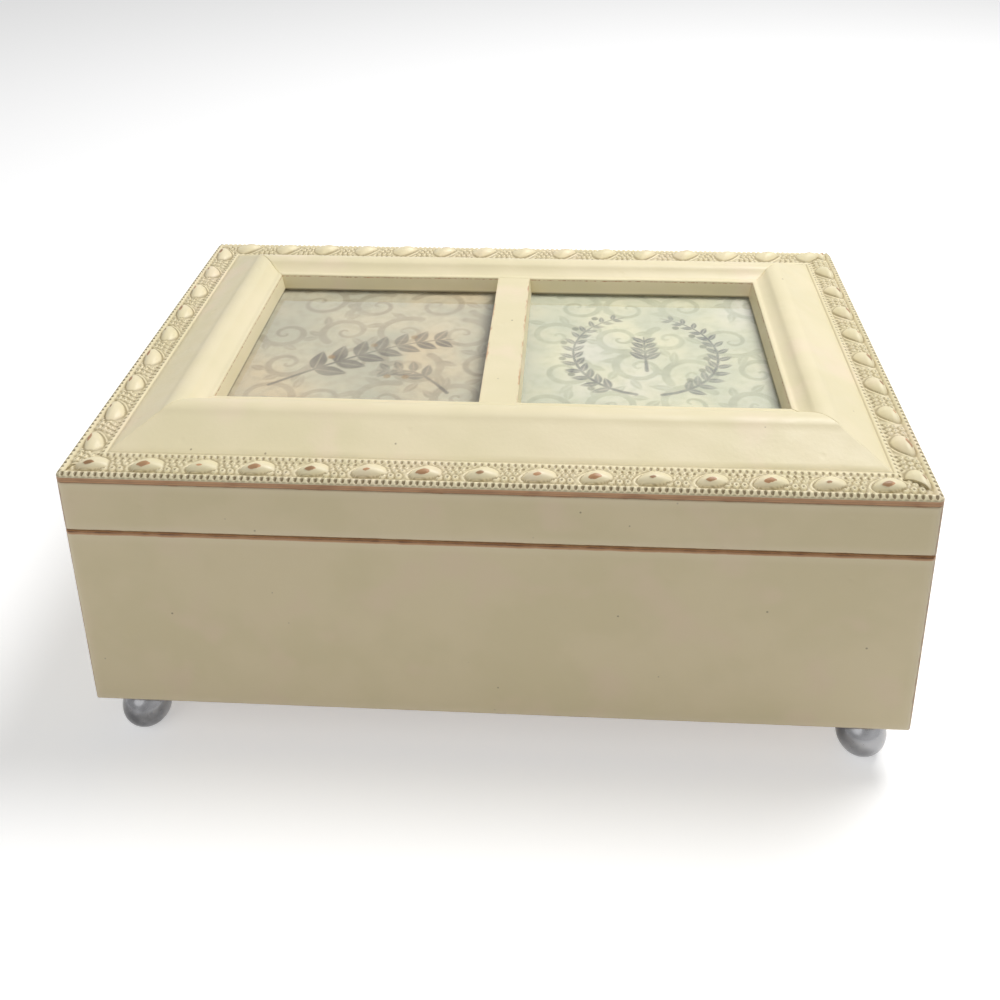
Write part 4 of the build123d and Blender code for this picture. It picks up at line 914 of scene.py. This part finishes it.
LEFT_PRINT = printed_card(
    "left_print",
    (srgb(166, 157, 135), srgb(150, 146, 128), srgb(170, 154, 126), srgb(130, 122, 102)),
    srgb(108, 98, 78), srgb(72, 65, 56), srgb(122, 94, 52),
)
RIGHT_PRINT = printed_card(
    "right_print",
    (srgb(176, 172, 147), srgb(160, 160, 141), srgb(174, 171, 160), srgb(142, 143, 122)),
    srgb(114, 118, 98), srgb(42, 45, 58), srgb(84, 86, 72),
)
card("printed_card_left", "picture_card_left", left_drawing, LEFT_PRINT)
card("printed_card_right", "picture_card_right", right_drawing, RIGHT_PRINT)

# Floor, lamps and camera

FLOOR_GLOW = 0.42
WORLD_LIGHT = 0.16
WORLD_SEEN = 1.0

stage_tree = Tree("floor_white")
stage_colour = stage_tree.mix(stage_tree.noise(3.0), srgb(243, 243, 243), srgb(241, 241, 241))
stage_tree.finish(stage_colour, 0.9, Specular_IOR_Level=0.0)
stage_glow = stage_tree.nodes.new("ShaderNodeEmission")
stage_sum = stage_tree.nodes.new("ShaderNodeAddShader")
stage_rays = stage_tree.nodes.new("ShaderNodeLightPath")
stage_seen = stage_tree.math(
    "MAXIMUM", stage_rays.outputs["Is Camera Ray"], stage_rays.outputs["Is Glossy Ray"]
)
stage_share = stage_tree.math("MULTIPLY", stage_seen, FLOOR_GLOW)
stage_tree.links.new(stage_share, stage_glow.inputs["Strength"])
stage_tree.links.new(stage_tree.shader.outputs[0], stage_sum.inputs[0])
stage_tree.links.new(stage_glow.outputs[0], stage_sum.inputs[1])
stage_tree.links.new(stage_sum.outputs[0], stage_tree.output.inputs["Surface"])
floor_mesh = bpy.data.meshes.new("floor")
floor_mesh.from_pydata([(-6, -6, 0), (6, -6, 0), (6, 6, 0), (-6, 6, 0)], [], [(0, 1, 2, 3)])
floor_mesh.materials.append(stage_tree.material)
floor = bpy.data.objects.new("floor", floor_mesh)
bpy.context.scene.collection.objects.link(floor)

world = bpy.data.worlds.new("studio")
world.use_nodes = True
bpy.context.scene.world = world
sky = world.node_tree.nodes["Background"]
rays = world.node_tree.nodes.new("ShaderNodeLightPath")
seen = world.node_tree.nodes.new("ShaderNodeMath")
seen.operation = "MAXIMUM"
strength = world.node_tree.nodes.new("ShaderNodeMapRange")
strength.inputs["To Min"].default_value = WORLD_LIGHT
strength.inputs["To Max"].default_value = WORLD_SEEN
world.node_tree.links.new(rays.outputs["Is Camera Ray"], seen.inputs[0])
world.node_tree.links.new(rays.outputs["Is Transmission Ray"], seen.inputs[1])
either = world.node_tree.nodes.new("ShaderNodeMath")
either.operation = "MAXIMUM"
world.node_tree.links.new(seen.outputs[0], either.inputs[0])
world.node_tree.links.new(rays.outputs["Is Glossy Ray"], either.inputs[1])
world.node_tree.links.new(either.outputs[0], strength.inputs["Value"])
world.node_tree.links.new(strength.outputs[0], sky.inputs["Strength"])
sky.inputs["Color"].default_value = (1, 1, 1, 1)


def lamp(name, place, aim, size, watts):
    """A round lamp that faces a point; places and size in metres."""
    data = bpy.data.lights.new(name, "AREA")
    data.shape = "DISK"
    data.size = size
    data.energy = watts
    light = bpy.data.objects.new(name, data)
    light.location = place
    direction = light.location.copy()
    direction.x, direction.y, direction.z = (aim[k] - place[k] for k in range(3))
    light.rotation_euler = direction.to_track_quat("-Z", "Y").to_euler()
    bpy.context.scene.collection.objects.link(light)


lamp("key", (0.34, 0.19, 0.86), (0, 0, 0.06), 0.45, 7.1)
lamp("fill", (-0.40, -0.62, 0.62), (0, 0, 0.05), 0.8, 1.7)

camera_data = bpy.data.cameras.new("camera")
camera_data.sensor_width = 36.0
camera_data.lens = 40.17
camera_data.shift_x = -0.01167
camera_data.shift_y = -0.3372
camera = bpy.data.objects.new("camera", camera_data)
camera.location = (0.01977, -0.27290, 0.24067)
camera.rotation_euler = [math.radians(a) for a in (69.2127, 0.6983, 3.4704)]
bpy.context.scene.collection.objects.link(camera)
bpy.context.scene.camera = camera
bpy.context.scene.view_settings.view_transform = "Standard"
